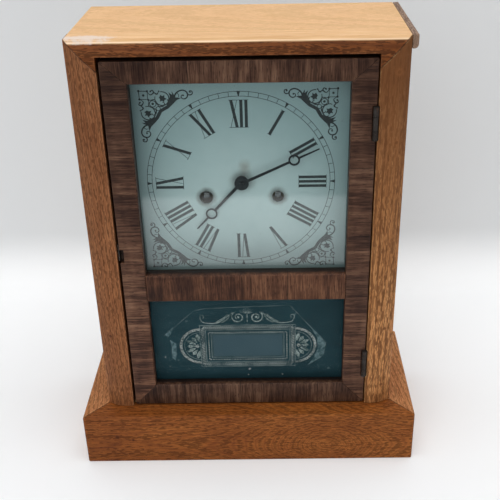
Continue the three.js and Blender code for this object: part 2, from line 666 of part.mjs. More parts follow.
function addLatch() {
  const half = LATCH_WIDTH / 2;
  const low = LATCH_HEIGHT - LATCH_REACH;
  const arm = rectangle([HOOK_Y - half, HOOK_Y + half], [low, LATCH_HEIGHT]);
  const nose = rectangle([HOOK_Y, HOOK_Y + LATCH_WIDTH * 1.4], [low, low + half]);
  const eye = rodX(HOOK_Y, LATCH_HEIGHT, LATCH_WIDTH * 0.7, HOOK_X, HOOK_X + LATCH_THICKNESS, 14);
  const flat = (outline) => sideSlab(outline, HOOK_X, LATCH_THICKNESS);
  const blank = join(flat(arm), flat(nose), eye);
  const bore = rodX(HOOK_Y, LATCH_HEIGHT, LATCH_PIN_RADIUS + RUNNING, HOOK_X - PAST, DOOR_LEFT, 12);
  add('latch_hook', cut(blank, bore), STEEL);
  add('latch_screw', latchScrew(LATCH_PIN_RADIUS), STEEL);
  add('latch_pin', latchPin(LATCH_PIN_RADIUS), STEEL);
}

// ---- Dial and hands -----------------------------------------------------------------------------

const CENTRE = [CENTRE_X, CENTRE_Z];
const WINDING = {
  time: [CENTRE_X + WINDING_SPREAD, CENTRE_Z - WINDING_DROP],
  strike: [CENTRE_X - WINDING_SPREAD, CENTRE_Z - WINDING_DROP],
};
const DIAL_HALF = INNER_HALF - DIAL_MARGIN;

function addDial() {
  const sheet = rectangle([-DIAL_HALF, DIAL_HALF], [DIAL_LOW, DIAL_TOP]);
  sheet.holes.push(circleHole(...CENTRE, DIAL_CENTRE_HOLE, 20));
  sheet.holes.push(circleHole(...WINDING.strike, WINDING_HOLES[0], 20));
  sheet.holes.push(circleHole(...WINDING.time, WINDING_HOLES[1], 20));
  add('dial', plate(sheet, DIAL_FACE, DIAL_THICKNESS), DIAL_PAINT);
  const deep = [DIAL_BACK + SEAM, DIAL_BACK + SEAM + BATTEN_DEPTH];
  const tall = [DIAL_LOW - SIDE_BOARD, DIAL_TOP + DIAL_MARGIN];
  const outer = INNER_HALF - SEAM;
  add('batten_left', box([-outer, -outer + BATTEN_WIDTH], deep, tall), PINE);
  add('batten_right', box([outer - BATTEN_WIDTH, outer], deep, tall), PINE);
}

// A hand with an open ring near its point, turned clockwise from XII to its angle.
function handGeometry(hand, back, boreRadius) {
  const front = back - HAND_THICKNESS;
  const flat = (outline) => plate(outline, front, HAND_THICKNESS);
  const disc = (z, radius, sides) => rodY(0, z, radius, front, back, sides);
  const stemEnd = hand.stem * 0.75;
  const ringAt = hand.ringAt;
  const stem = polygon([[-hand.stem, 0], [hand.stem, 0], [stemEnd, ringAt], [-stemEnd, ringAt]]);
  const tip = polygon([
    [-stemEnd, ringAt],
    [stemEnd, ringAt],
    [HAND_TIP, hand.length],
    [-HAND_TIP, hand.length],
  ]);
  const blank = join(flat(stem), flat(tip), disc(0, hand.hub, 20), disc(ringAt, hand.ring, 20));
  const through = (z, radius, sides) => rodY(0, z, radius, front - PAST, back + PAST, sides);
  const pierced = cut(blank, through(ringAt, hand.ringHole, 20), through(0, boreRadius, 12));
  return pierced.rotateY(THREE.MathUtils.degToRad(hand.angle)).translate(CENTRE_X, 0, CENTRE_Z);
}

// ---- Toothed wheels and lantern pinions ---------------------------------------------------------

function polar([x, z], distance, degrees) {
  const turn = THREE.MathUtils.degToRad(degrees);
  return [x + distance * Math.cos(turn), z + distance * Math.sin(turn)];
}

function direction([x0, z0], [x1, z1]) {
  return Math.atan2(z1 - z0, x1 - x0);
}

// Tapered teeth round a circle, with the middle of one gap at the angle gapAt. The root is the
// tooth's half width as a share of the pitch.
function toothedOutline({ centre, teeth, module, gapAt, root = 0.27, addendum = 0.8, dedendum = 1.15 }) {
  const pitch = TAU / teeth;
  const rootRadius = (module * teeth) / 2 - dedendum * module;
  const tipRadius = (module * teeth) / 2 + addendum * module;
  const corners = [[rootRadius, -root], [tipRadius, 0], [rootRadius, root]];
  const points = [];
  for (let tooth = 0; tooth < teeth; tooth += 1) {
    const middle = gapAt + (tooth + 0.5) * pitch;
    for (const [radius, share] of corners) {
      const turn = middle + share * pitch;
      points.push([centre[0] + radius * Math.cos(turn), centre[1] + radius * Math.sin(turn)]);
    }
  }
  return polygon(points);
}

// Windows between a wheel's arms, from the hub's edge to the rim's.
function crossings([x, z], hub, rim, arms, armWidth, steps = 2) {
  return Array.from({ length: arms }, (_, arm) => {
    const middle = (TAU * (arm + 0.5)) / arms;
    const points = [];
    for (const [radius, order] of [[rim, 1], [hub, -1]]) {
      const half = Math.PI / arms - armWidth / 2 / radius;
      for (let i = 0; i <= steps; i += 1) {
        const turn = middle + order * half * ((2 * i) / steps - 1);
        points.push([x + radius * Math.cos(turn), z + radius * Math.sin(turn)]);
      }
    }
    return polygon(points);
  });
}

function toothedWheel(spec, y, thickness, { hub, arms, boreRadius }) {
  const outline = toothedOutline(spec);
  const rim = (spec.module * spec.teeth) / 2 - 3.4 * spec.module;
  outline.holes.push(...crossings(spec.centre, hub, rim, arms, 2.2));
  if (boreRadius) outline.holes.push(circleHole(...spec.centre, boreRadius));
  return plate(outline, y, thickness);
}

// Steel pins between two brass collars, meshing with a wheel that lies between them.
function lanternPinion(spec, wheelY, wheelThickness, boreRadius = 0) {
  const { centre, pins, pinRadius, module, pinAt } = spec;
  const radius = (module * pins) / 2;
  const collar = PINION_COLLAR;
  const low = wheelY - PINION_CLEAR;
  const high = wheelY + wheelThickness + PINION_CLEAR;
  const pieces = Array.from({ length: pins }, (_, pin) => {
    const turn = pinAt + (TAU * pin) / pins;
    const x = centre[0] + radius * Math.cos(turn);
    const z = centre[1] + radius * Math.sin(turn);
    return rodY(x, z, pinRadius, low - collar / 2, high + collar / 2, 5);
  });
  const collarRadius = radius + pinRadius + PINION_RIM;
  for (const y of [low - collar, high]) {
    const disc = rodY(...centre, collarRadius, y, y + collar, 10);
    const bore = () => rodY(...centre, boreRadius, y - PAST, y + collar + PAST, HOLE_SIDES);
    pieces.push(boreRadius ? cut(disc, bore()) : disc);
  }
  return join(...pieces);
}

const toRod = (radius, [x, z], y0, y1, sides = 8) => rodY(x, z, radius, y0, y1, sides);

// ---- Where the arbors stand ---------------------------------------------------------------------

const GREAT_DISTANCE = Math.hypot(WINDING_SPREAD, WINDING_DROP);
const GREAT_MODULE = (2 * GREAT_DISTANCE) / (GREAT_TEETH + GREAT_PINION);
const TRAIN_DISTANCE = (TRAIN_MODULE * (TRAIN_TEETH + TRAIN_PINION)) / 2;
const FAST_DISTANCE = (FAST_MODULE * (TRAIN_TEETH + TRAIN_PINION)) / 2;
const PIN_WHEEL_MODULE = (2 * TRAIN_DISTANCE) / (PIN_WHEEL_TEETH + TRAIN_PINION);
const LOCKING_DISTANCE = (LOCKING_MODULE * (LOCKING_TEETH + TRAIN_PINION)) / 2;
const ROD_X = CENTRE_X - PENDULUM_OFFSET;
const THIRD = polar(CENTRE, TRAIN_DISTANCE, 75);
const ESCAPE = [ROD_X, THIRD[1] + Math.sqrt(FAST_DISTANCE ** 2 - (THIRD[0] - ROD_X) ** 2)];
const VERGE = [ROD_X, ESCAPE[1] + VERGE_RISE];
const PIN_ARBOR = polar(WINDING.strike, GREAT_DISTANCE, 100);
const LOCKING = polar(PIN_ARBOR, TRAIN_DISTANCE, 90);
const FLY = polar(LOCKING, LOCKING_DISTANCE, 45);
const COUNT = [CENTRE_X - COUNT_PLACE.left, CENTRE_Z + COUNT_PLACE.up];
const HAMMER = [CENTRE_X - HAMMER_OUT, CENTRE_Z - HAMMER_OUT];
const MINUTE = polar(CENTRE, MOTION_DISTANCE, -60);
const THIN_ARBORS = [THIRD, ESCAPE, PIN_ARBOR, LOCKING, FLY, HAMMER];
const ARBOR_FRONT = PLATES_INSIDE - PLATE_THICKNESS * 0.8;
const ARBOR_BACK = BACK_PLATE + PLATE_THICKNESS * 0.8;
const layer = (name) => PLATES_INSIDE + LAYER[name];
const ahead = (name) => FRONT_PLATE - AHEAD[name];

function arbor(place, front = ARBOR_FRONT) {
  return toRod(ARBOR_RADIUS, place, front, ARBOR_BACK);
}

// ---- Plates, pillars and blocks -----------------------------------------------------------------

function plateOutline(windingBore) {
  const wide = [CENTRE_X - PLATE_HALF_WIDTH, CENTRE_X + PLATE_HALF_WIDTH];
  const outline = rectangle(wide, [CENTRE_Z - PLATE_BELOW, CENTRE_Z + PLATE_ABOVE]);
  const thin = THIN_ARBORS.map((place) => circleHole(...place, ARBOR_RADIUS + RUNNING, 6));
  const winding = Object.values(WINDING).map((place) => circleHole(...place, windingBore));
  outline.holes.push(...thin, ...winding);
  outline.holes.push(circleHole(...CENTRE, CENTRE_ARBOR_RADIUS + RUNNING));
  return outline;
}

function pillarPlaces() {
  const x = PLATE_HALF_WIDTH - PILLAR_INSET;
  const heights = [CENTRE_Z - PLATE_BELOW + PILLAR_INSET, CENTRE_Z + PLATE_ABOVE - PILLAR_INSET];
  return heights.flatMap((z) => [[CENTRE_X - x, z], [CENTRE_X + x, z]]);
}

// The slotted post, riveted in the front plate, that the pendulum's spring hangs in.
const SUSPENSION_TOP = VERGE[1] + SUSPENSION_RISE;

function suspensionPost() {
  const { width, ahead: front, low, high, slot } = SUSPENSION_POST;
  const tall = [VERGE[1] + low, VERGE[1] + high];
  const wide = [ROD_X - width / 2, ROD_X + width / 2];
  const post = box(wide, [ROD_Y - front, FRONT_PLATE + ROOTED], tall);
  const slotDeep = [ROD_Y - front - PAST, ROD_Y + SUSPENSION_STRIP.width / 2 + ROOTED];
  const slotTall = [tall[0] - PAST, SUSPENSION_TOP + SEAT];
  return cut(post, box([ROD_X - slot / 2, ROD_X + slot / 2], slotDeep, slotTall));
}

// The post that a mainspring's outer end hooks on.
function springPost(side) {
  const outward = side === 'time' ? -20 : 200;
  return polar(WINDING[side], SPRING_OUTER + 2 * SPRING_POST, outward);
}

function addPlates() {
  const studs = [
    toRod(ARBOR_RADIUS, MINUTE, ahead('hour') - PAST, FRONT_PLATE + ROOTED),
    toRod(COUNT_STUD, COUNT, ahead('count') - PAST, FRONT_PLATE + ROOTED),
    toRod(ARBOR_RADIUS, VERGE, ahead('crutch'), FRONT_PLATE + ROOTED),
  ];
  const front = plate(plateOutline(WINDING_ARBOR_RADIUS + RUNNING), FRONT_PLATE, PLATE_THICKNESS);
  add('front_plate', join(front, suspensionPost(), ...studs), BRASS);
  const rooted = BACK_PLATE + ROOTED;
  const pillar = (place) => toRod(PILLAR_RADIUS, place, PLATES_INSIDE + SEAM, rooted, 12);
  const pillars = pillarPlaces().map(pillar);
  const posts = ['time', 'strike'].map((side) => {
    const springFace = layer(side) + SPRING_BEHIND;
    return toRod(SPRING_POST, springPost(side), springFace, rooted);
  });
  const back = plate(plateOutline(WINDING_ARBOR_RADIUS / 2 + RUNNING), BACK_PLATE, PLATE_THICKNESS);
  add('back_plate', join(back, ...pillars, ...posts), BRASS);
  const halfWidth = PLATE_HALF_WIDTH + BLOCK_PAST;
  const wide = [CENTRE_X - halfWidth, CENTRE_X + halfWidth];
  const deep = [BACK_PLATE + PLATE_THICKNESS + SEAM, BACK_INNER - SEAM];
  const low = CENTRE_Z - PLATE_BELOW - BLOCK_RISE;
  const high = CENTRE_Z + PLATE_ABOVE + BLOCK_RISE;
  add('movement_block_lower', box(wide, deep, [low, low + BLOCK_HEIGHT]), PINE);
  add('movement_block_upper', box(wide, deep, [high - BLOCK_HEIGHT, high]), PINE);
}

// ---- Winding arbors, great wheels and mainsprings -----------------------------------------------

function ratchetOutline([x, z], clockwise) {
  const points = [];
  const hand = clockwise ? 1 : -1;
  const corners = [[RATCHET_RADIUS, 0.02], [RATCHET_RADIUS - RATCHET_DEPTH, clockwise ? 0.12 : 0.88]];
  for (let tooth = 0; tooth < RATCHET_TEETH; tooth += 1) {
    for (const [radius, share] of corners) {
      const turn = (TAU * (tooth + hand * share)) / RATCHET_TEETH;
      points.push([x + radius * Math.cos(turn), z + radius * Math.sin(turn)]);
    }
  }
  return polygon(points);
}

// A flat spiral strip: out along its outer face and back along its inner one.
function springOutline([x, z], side) {
  const inner = WINDING_ARBOR_RADIUS + RUNNING + SPRING_STRIP / 2;
  const turns = SPRING_TURNS;
  const steps = 10 * turns;
  const hand = side === 'time' ? 1 : -1;
  const start = THREE.MathUtils.degToRad(side === 'time' ? -20 : 200);
  const face = (offset) => Array.from({ length: steps + 1 }, (_, i) => {
    const radius = SPRING_OUTER - ((SPRING_OUTER - inner) * i) / steps + offset;
    const turn = start + (hand * TAU * turns * i) / steps;
    return [x + radius * Math.cos(turn), z + radius * Math.sin(turn)];
  });
  return polygon([...face(SPRING_STRIP / 2), ...face(-SPRING_STRIP / 2).reverse()]);
}

function addSpringDrive(side) {
  const place = WINDING[side];
  const driven = side === 'time' ? CENTRE : PIN_ARBOR;
  const clockwise = side === 'time';
  const y = layer(side);
  const gapAt = direction(place, driven);
  const spec = { centre: place, teeth: GREAT_TEETH, module: GREAT_MODULE, gapAt };
  const arms = { hub: 7, arms: 5, boreRadius: WINDING_ARBOR_RADIUS + RUNNING };
  const wheel = toothedWheel(spec, y, GREAT_THICKNESS, arms);
  const ratchetFace = y - RATCHET_AHEAD;
  const springFace = y + SPRING_BEHIND;
  const armAngle = clockwise ? 288 : 216;
  const noseAngle = clockwise ? 258 : 246;
  const post = polar(place, RATCHET_RADIUS + CLICK_OUT, armAngle);
  const nose = polar(place, RATCHET_RADIUS + SEAT, noseAngle);
  const clickEnd = polar(place, RATCHET_RADIUS + SEAT + 1.8, noseAngle);
  const click = polygon([post, nose, clickEnd]);
  const clickPost = toRod(1.4, post, ratchetFace, y + GREAT_THICKNESS / 2, 10);
  const clickPlate = plate(click, ratchetFace, CLICK_THICKNESS);
  add(`great_wheel_${side}`, join(wheel, clickPost, clickPlate), BRASS);
  const half = WINDING_SQUARE / 2;
  const wide = [place[0] - half, place[0] + half];
  const tall = [place[1] - half, place[1] + half];
  const square = box(wide, [DIAL_BACK + WINDING_RECESS, FRONT_PLATE], tall);
  const winding = join(
    toRod(WINDING_ARBOR_RADIUS, place, FRONT_PLATE - 2, springFace + SPRING_WIDTH, 16),
    toRod(WINDING_ARBOR_RADIUS / 2, place, springFace, ARBOR_BACK, 10),
    plate(ratchetOutline(place, clockwise), ratchetFace, RATCHET_THICKNESS),
    square,
  );
  add(`winding_arbor_${side}`, winding, STEEL);
  add(`mainspring_${side}`, plate(springOutline(place, side), springFace, SPRING_WIDTH), STEEL);
}

// ---- Going train --------------------------------------------------------------------------------

function addCentreWheel() {
  const bore = CENTRE_ARBOR_RADIUS + RUNNING;
  const gapAt = direction(CENTRE, THIRD);
  const wheelSpec = { centre: CENTRE, teeth: TRAIN_TEETH, module: TRAIN_MODULE, gapAt };
  const arms = { hub: 5, arms: 4, boreRadius: bore };
  const wheel = toothedWheel(wheelSpec, layer('centre'), WHEEL_THICKNESS, arms);
  const pinAt = direction(CENTRE, WINDING.time);
  const pinionSpec = {
    centre: CENTRE,
    pins: GREAT_PINION,
    pinRadius: THICK_PIN,
    module: GREAT_MODULE,
    pinAt,
  };
  const pinion = lanternPinion(pinionSpec, layer('time'), GREAT_THICKNESS, bore);
  const pipeEnd = layer('time') + GREAT_THICKNESS + PINION_CLEAR + PINION_COLLAR;
  const pipe = toRod(CENTRE_PIPE_RADIUS, CENTRE, layer('centre'), pipeEnd, 14);
  const clear = toRod(bore, CENTRE, layer('centre') - PAST, pipeEnd + PAST, HOLE_SIDES);
  add('centre_wheel', cut(join(wheel, pinion, pipe), clear), BRASS);
}

function addThirdWheel() {
  const gapAt = direction(THIRD, ESCAPE);
  const wheelSpec = { centre: THIRD, teeth: TRAIN_TEETH, module: FAST_MODULE, gapAt };
  const wheel = toothedWheel(wheelSpec, layer('third'), WHEEL_THICKNESS, { hub: 4, arms: 4 });
  const pinAt = direction(THIRD, CENTRE);
  const pinionSpec = {
    centre: THIRD,
    pins: TRAIN_PINION,
    pinRadius: THIN_PIN,
    module: TRAIN_MODULE,
    pinAt,
  };
  const pinion = lanternPinion(pinionSpec, layer('centre'), WHEEL_THICKNESS);
  add('third_wheel', join(wheel, pinion, arbor(THIRD)), BRASS);
}

// Pointed teeth leaning into the turn.
function escapeOutline() {
  const points = [];
  for (let tooth = 0; tooth < ESCAPE_TEETH; tooth += 1) {
    for (const [radius, share] of [[ESCAPE_RADIUS - ESCAPE_DEPTH, 0], [ESCAPE_RADIUS, 0.7]]) {
      const turn = (TAU * (tooth + share)) / ESCAPE_TEETH;
      points.push([ESCAPE[0] + radius * Math.cos(turn), ESCAPE[1] + radius * Math.sin(turn)]);
    }
  }
  const outline = polygon(points);
  outline.holes.push(...crossings(ESCAPE, 3, ESCAPE_RADIUS - 3.2, 4, 1.4));
  return outline;
}

function addEscapeWheel() {
  const wheel = plate(escapeOutline(), ahead('escape'), WHEEL_THICKNESS);
  const pinAt = direction(ESCAPE, THIRD);
  const pinionSpec = {
    centre: ESCAPE,
    pins: TRAIN_PINION,
    pinRadius: FINE_PIN,
    module: FAST_MODULE,
    pinAt,
  };
  const pinion = lanternPinion(pinionSpec, layer('third'), WHEEL_THICKNESS);
  add('escape_wheel', join(wheel, pinion, arbor(ESCAPE, ahead('cock') + 0.3)), BRASS);
}

// The strip that rocks over the escape wheel, with the crutch that follows the pendulum's rod.
function addVerge() {
  const [x, z] = VERGE;
  const y = ahead('escape') - (PALLET_THICKNESS - WHEEL_THICKNESS) / 2;
  const reach = Math.acos(ESCAPE_RADIUS / (VERGE[1] - ESCAPE[1]));
  const tipRadius = ESCAPE_RADIUS + PALLET_CLEARANCE;
  const arms = [-1, 1].map((side) => {
    const tip = [x + side * tipRadius * Math.sin(reach), ESCAPE[1] + tipRadius * Math.cos(reach)];
    const elbow = [tip[0] + side * 1.8, tip[1] + 2.6];
    return plate(polygon([
      [x, z - 0.9],
      [elbow[0] - side * 1.2, elbow[1] - 0.6],
      tip,
      [tip[0] + side * 0.9, tip[1] + 0.2],
      [elbow[0] + side * 0.4, elbow[1] + 0.6],
      [x, z + 1.2],
    ]), y, PALLET_THICKNESS);
  });
  const saddle = toRod(SADDLE_RADIUS, VERGE, ahead('crutch'), FRONT_PLATE - 3, 14);
  const half = CRUTCH_WIRE / 2;
  const fork = CENTRE_Z + CRUTCH_ABOVE;
  const crutchDeep = [ahead('crutch'), ahead('crutch') + CRUTCH_WIRE];
  const stem = box([x - half, x + half], crutchDeep, [fork, z]);
  const prong = ROD_RADIUS + SEAT + half;
  const forkTall = [fork - half, fork + half];
  const bar = box([x - prong - half, x + prong + half], crutchDeep, forkTall);
  const prongs = [-1, 1].map((side) => {
    const middle = x + side * prong;
    return box([middle - half, middle + half], [ROD_Y - 2 * ROD_RADIUS, crutchDeep[1]], forkTall);
  });
  const whole = join(saddle, ...arms, stem, bar, ...prongs);
  const bore = toRod(ARBOR_RADIUS + RUNNING, VERGE, ahead('crutch') - PAST, FRONT_PLATE, HOLE_SIDES);
  add('verge', cut(whole, bore), STEEL);
}

// The bridge that carries the escape wheel's front pivot.
function addEscapeCock() {
  const front = ahead('cock');
  const tall = [ESCAPE[1] - COCK.half, ESCAPE[1] + COCK.half];
  const strap = rectangle([ROD_X - COCK.left, ROD_X + COCK.right], tall);
  strap.holes.push(circleHole(...ESCAPE, ARBOR_RADIUS + RUNNING));
  const footWide = [ROD_X + COCK.right - COCK.foot, ROD_X + COCK.right];
  const foot = box(footWide, [front, FRONT_PLATE - SEAM], tall);
  add('escape_cock', join(plate(strap, front, WHEEL_THICKNESS), foot), BRASS);
}

// ---- Pendulum -----------------------------------------------------------------------------------

function addPendulum() {
  const [, pivot] = VERGE;
  const bobZ = pivot - PENDULUM_LENGTH;
  const { width, thickness, length } = SUSPENSION_STRIP;
  const stripWide = [ROD_X - thickness / 2, ROD_X + thickness / 2];
  const stripDeep = [ROD_Y - width / 2, ROD_Y + width / 2];
  const strip = box(stripWide, stripDeep, [pivot - length, SUSPENSION_TOP]);
  const bobLow = bobZ - BOB_RADIUS;
  const rod = rodZ(ROD_X, ROD_Y, ROD_RADIUS, bobLow - ROD_BELOW_BOB, pivot - length + PAST, 8);
  const nutTop = bobLow - BOB_NUT.gap;
  const nut = rodZ(ROD_X, ROD_Y, BOB_NUT.radius, nutTop - BOB_NUT.height, nutTop, 12);
  add('pendulum_rod', join(strip, rod, nut), STEEL);
  const half = BOB_THICKNESS / 2;
  const edge = BOB_EDGE / 2;
  const lens = turned(ROD_X, 0, [
    [0, ROD_Y - half],
    [BOB_RADIUS * 0.5, ROD_Y - half * 0.86],
    [BOB_RADIUS * 0.85, ROD_Y - half * 0.45],
    [BOB_RADIUS, ROD_Y - edge],
    [BOB_RADIUS, ROD_Y + edge],
    [BOB_RADIUS * 0.85, ROD_Y + half * 0.45],
    [BOB_RADIUS * 0.5, ROD_Y + half * 0.86],
    [0, ROD_Y + half],
  ], 20).translate(0, 0, bobZ);
  const channel = rodZ(ROD_X, ROD_Y, ROD_RADIUS + SEAT, bobLow - PAST, bobZ + BOB_RADIUS + PAST, 8);
  add('pendulum_bob', cut(lens, channel), BRASS);
}

// ---- Motion work under the dial -----------------------------------------------------------------

function addMotionWork() {
  const cannonModule = (2 * MOTION_DISTANCE) / (CANNON_LEAVES + MINUTE_WHEEL_TEETH);
  const hourModule = (2 * MOTION_DISTANCE) / (MINUTE_PINION_LEAVES + HOUR_WHEEL_TEETH);
  const slim = { root: 0.24, addendum: 0.7, dedendum: 1 };
  const toMinute = direction(CENTRE, MINUTE);
  const toCentre = direction(MINUTE, CENTRE);
  const cannonSpec = {
    centre: CENTRE,
    teeth: CANNON_LEAVES,
    module: cannonModule,
    gapAt: toMinute,
    ...slim,
  };
  const cannon = plate(toothedOutline(cannonSpec), ahead('cannon'), 2.2);
  const tip = MINUTE_HAND_BACK - HAND_THICKNESS - 1.2;
  const centreArbor = toRod(CENTRE_ARBOR_RADIUS, CENTRE, tip, ARBOR_BACK, 14);
  add('centre_arbor', join(centreArbor, cannon), STEEL);
  const wheelSpec = {
    centre: MINUTE,
    teeth: MINUTE_WHEEL_TEETH,
    module: cannonModule,
    gapAt: toCentre + Math.PI / MINUTE_WHEEL_TEETH,
    ...slim,
  };
  const wheel = plate(toothedOutline(wheelSpec), ahead('minute'), WHEEL_THICKNESS);
  const leafSpec = {
    centre: MINUTE,
    teeth: MINUTE_PINION_LEAVES,
    module: hourModule,
    gapAt: toCentre,
    ...slim,
  };
  const leavesDepth = AHEAD.hour - AHEAD.minute + 0.4 + ROOTED;
  const leaves = plate(toothedOutline(leafSpec), ahead('hour') - 0.4, leavesDepth);
  const bore = toRod(ARBOR_RADIUS + RUNNING, MINUTE, ahead('hour') - 2, FRONT_PLATE, HOLE_SIDES);
  add('minute_wheel', cut(join(wheel, leaves), bore), BRASS);
  const hourSpec = {
    centre: CENTRE,
    teeth: HOUR_WHEEL_TEETH,
    module: hourModule,
    gapAt: toMinute + Math.PI / HOUR_WHEEL_TEETH,
    ...slim,
  };
  const hourWheel = plate(toothedOutline(hourSpec), ahead('hour'), WHEEL_THICKNESS);
  const pipeFront = HOUR_HAND_BACK - HAND_THICKNESS - SEAT;
  const pipe = toRod(HOUR_PIPE_RADIUS, CENTRE, pipeFront, ahead('hour') + ROOTED, 18);
  const pipeBore = toRod(CENTRE_ARBOR_RADIUS + RUNNING, CENTRE, pipeFront - PAST, FRONT_PLATE, 14);
  add('hour_wheel', cut(join(hourWheel, pipe), pipeBore), BRASS);
  const hourHand = handGeometry(HOUR_HAND, HOUR_HAND_BACK, HOUR_PIPE_RADIUS + SEAM);
  add('hour_hand', hourHand, BLUED_STEEL);
  const minuteHand = handGeometry(MINUTE_HAND, MINUTE_HAND_BACK, CENTRE_ARBOR_RADIUS + SEAM);
  add('minute_hand', minuteHand, BLUED_STEEL);
}

// ---- Striking train -----------------------------------------------------------------------------

const LIFTING_PINS = 8;
const LIFTING_RADIUS = 16;
const LIFTING_PIN = 0.6;

function addPinWheel() {
  const gapAt = direction(PIN_ARBOR, LOCKING);
  const wheelSpec = { centre: PIN_ARBOR, teeth: PIN_WHEEL_TEETH, module: PIN_WHEEL_MODULE, gapAt };
  const wheel = toothedWheel(wheelSpec, layer('pin'), WHEEL_THICKNESS, { hub: 5, arms: 4 });
  const pinAt = direction(PIN_ARBOR, WINDING.strike);
  const pinionSpec = {
    centre: PIN_ARBOR,
    pins: GREAT_PINION,
    pinRadius: THICK_PIN,
    module: GREAT_MODULE,
    pinAt,
  };
  const pinion = lanternPinion(pinionSpec, layer('strike'), GREAT_THICKNESS);
  const pins = Array.from({ length: LIFTING_PINS }, (_, pin) => {
    const place = polar(PIN_ARBOR, LIFTING_RADIUS, (360 * (pin + 0.5)) / LIFTING_PINS);
    return toRod(LIFTING_PIN, place, layer('pin') - 2, layer('pin') + 0.6, 5);
  });
  add('pin_wheel', join(wheel, pinion, arbor(PIN_ARBOR), ...pins), BRASS);
}

function addLockingWheel() {
  const gapAt = direction(LOCKING, FLY);
  const spec = { centre: LOCKING, teeth: LOCKING_TEETH, module: LOCKING_MODULE, gapAt };
  const wheel = toothedWheel(spec, layer('locking'), WHEEL_THICKNESS, { hub: 4, arms: 4 });
  const pinAt = direction(LOCKING, PIN_ARBOR);
  const pinionSpec = {
    centre: LOCKING,
    pins: TRAIN_PINION,
    pinRadius: THICK_PIN,
    module: PIN_WHEEL_MODULE,
    pinAt,
  };
  const pinion = lanternPinion(pinionSpec, layer('pin'), WHEEL_THICKNESS);
  add('locking_wheel', join(wheel, pinion, arbor(LOCKING)), BRASS);
}

function addFly() {
  const pinAt = direction(FLY, LOCKING);
  const spec = { centre: FLY, pins: TRAIN_PINION, pinRadius: THIN_PIN, module: LOCKING_MODULE, pinAt };
  const pinion = lanternPinion(spec, layer('locking'), WHEEL_THICKNESS);
  const wide = [FLY[0] - FLY_REACH, FLY[0] + FLY_REACH];
  const tall = [FLY[1] - FLY_THICKNESS / 2, FLY[1] + FLY_THICKNESS / 2];
  const blades = box(wide, [layer('fly'), BACK_PLATE - FLY_CLEAR], tall);
  add('fly', join(pinion, arbor(FLY), blades), BRASS);
}

// Twelve slots spaced by the blows of each hour.
function addCountWheel() {
  const blows = 78;
  const slot = 0.7;
  const points = [];
  const push = (r, at) => {
    const turn = (TAU * at) / blows;
    points.push([COUNT[0] + r * Math.cos(turn), COUNT[1] + r * Math.sin(turn)]);
  };
  let at = 0;
  for (let hour = 1; hour <= 12; hour += 1) {
    const start = at + slot / 2;
    const end = at + hour - slot / 2;
    push(COUNT_RADIUS - COUNT_SLOT_DEPTH, start);
    const steps = Math.ceil(hour / 2);
    for (let i = 0; i <= steps; i += 1) {
      push(COUNT_RADIUS, start + ((end - start) * i) / steps);
    }
    push(COUNT_RADIUS - COUNT_SLOT_DEPTH, end);
    at += hour;
  }
  const outline = polygon(points);
  outline.holes.push(...crossings(COUNT, 4, COUNT_RADIUS - COUNT_SLOT_DEPTH - 3, 4, 2));
  outline.holes.push(circleHole(...COUNT, COUNT_STUD + RUNNING));
  add('count_wheel', plate(outline, ahead('count'), WHEEL_THICKNESS), BRASS);
}

// The hammer's tail waits under the pins and its head beside the gong.
const GONG_X = CENTRE_X;
const GONG_Z = CENTRE_Z - GONG_DROP;
const GONG_Y = BACK_INNER - GONG_SET;

function addHammer() {
  const y = layer('pin') - WHEEL_THICKNESS / 2 - HAMMER_STRIP;
  const tailTip = polar(PIN_ARBOR, LIFTING_RADIUS + LIFTING_PIN + SEAT, 264);
  const elbow = [HAMMER[0] - HAMMER_ELBOW.left, HAMMER[1] + HAMMER_ELBOW.up];
  const bar = ([x0, z0], [x1, z1], w0, w1) => {
    const turn = direction([x0, z0], [x1, z1]) + Math.PI / 2;
    const [c, s] = [Math.cos(turn), Math.sin(turn)];
    return plate(polygon([
      [x0 + w0 * c, z0 + w0 * s],
      [x1 + w1 * c, z1 + w1 * s],
      [x1 - w1 * c, z1 - w1 * s],
      [x0 - w0 * c, z0 - w0 * s],
    ]), y, HAMMER_STRIP);
  };
  const tip = [tailTip[0], tailTip[1] - LIFTING_PIN];
  const tail = [bar(HAMMER, elbow, 1.4, 1), bar([elbow[0] + 0.3, elbow[1] - 0.8], tip, 1.1, 0.6)];
  const headX = GONG_X - GONG_RADIUS - GONG_WIRE - SEAT;
  const rod = wire([
    [HAMMER[0], GONG_Y, HAMMER[1]],
    [HAMMER[0], GONG_Y, HAMMER[1] - HAMMER_ROD.straight],
    [headX - HEAD_LENGTH / 2 - 1, GONG_Y, GONG_Z + HAMMER_ROD.bend],
    [headX - HEAD_LENGTH / 2, GONG_Y, GONG_Z],
  ], HAMMER_ROD.radius, 6, 10);
  const head = rodX(GONG_Y, GONG_Z, HEAD_RADIUS, headX - HEAD_LENGTH, headX, 14);
  add('hammer', join(arbor(HAMMER), ...tail, rod, head), IRON);
}

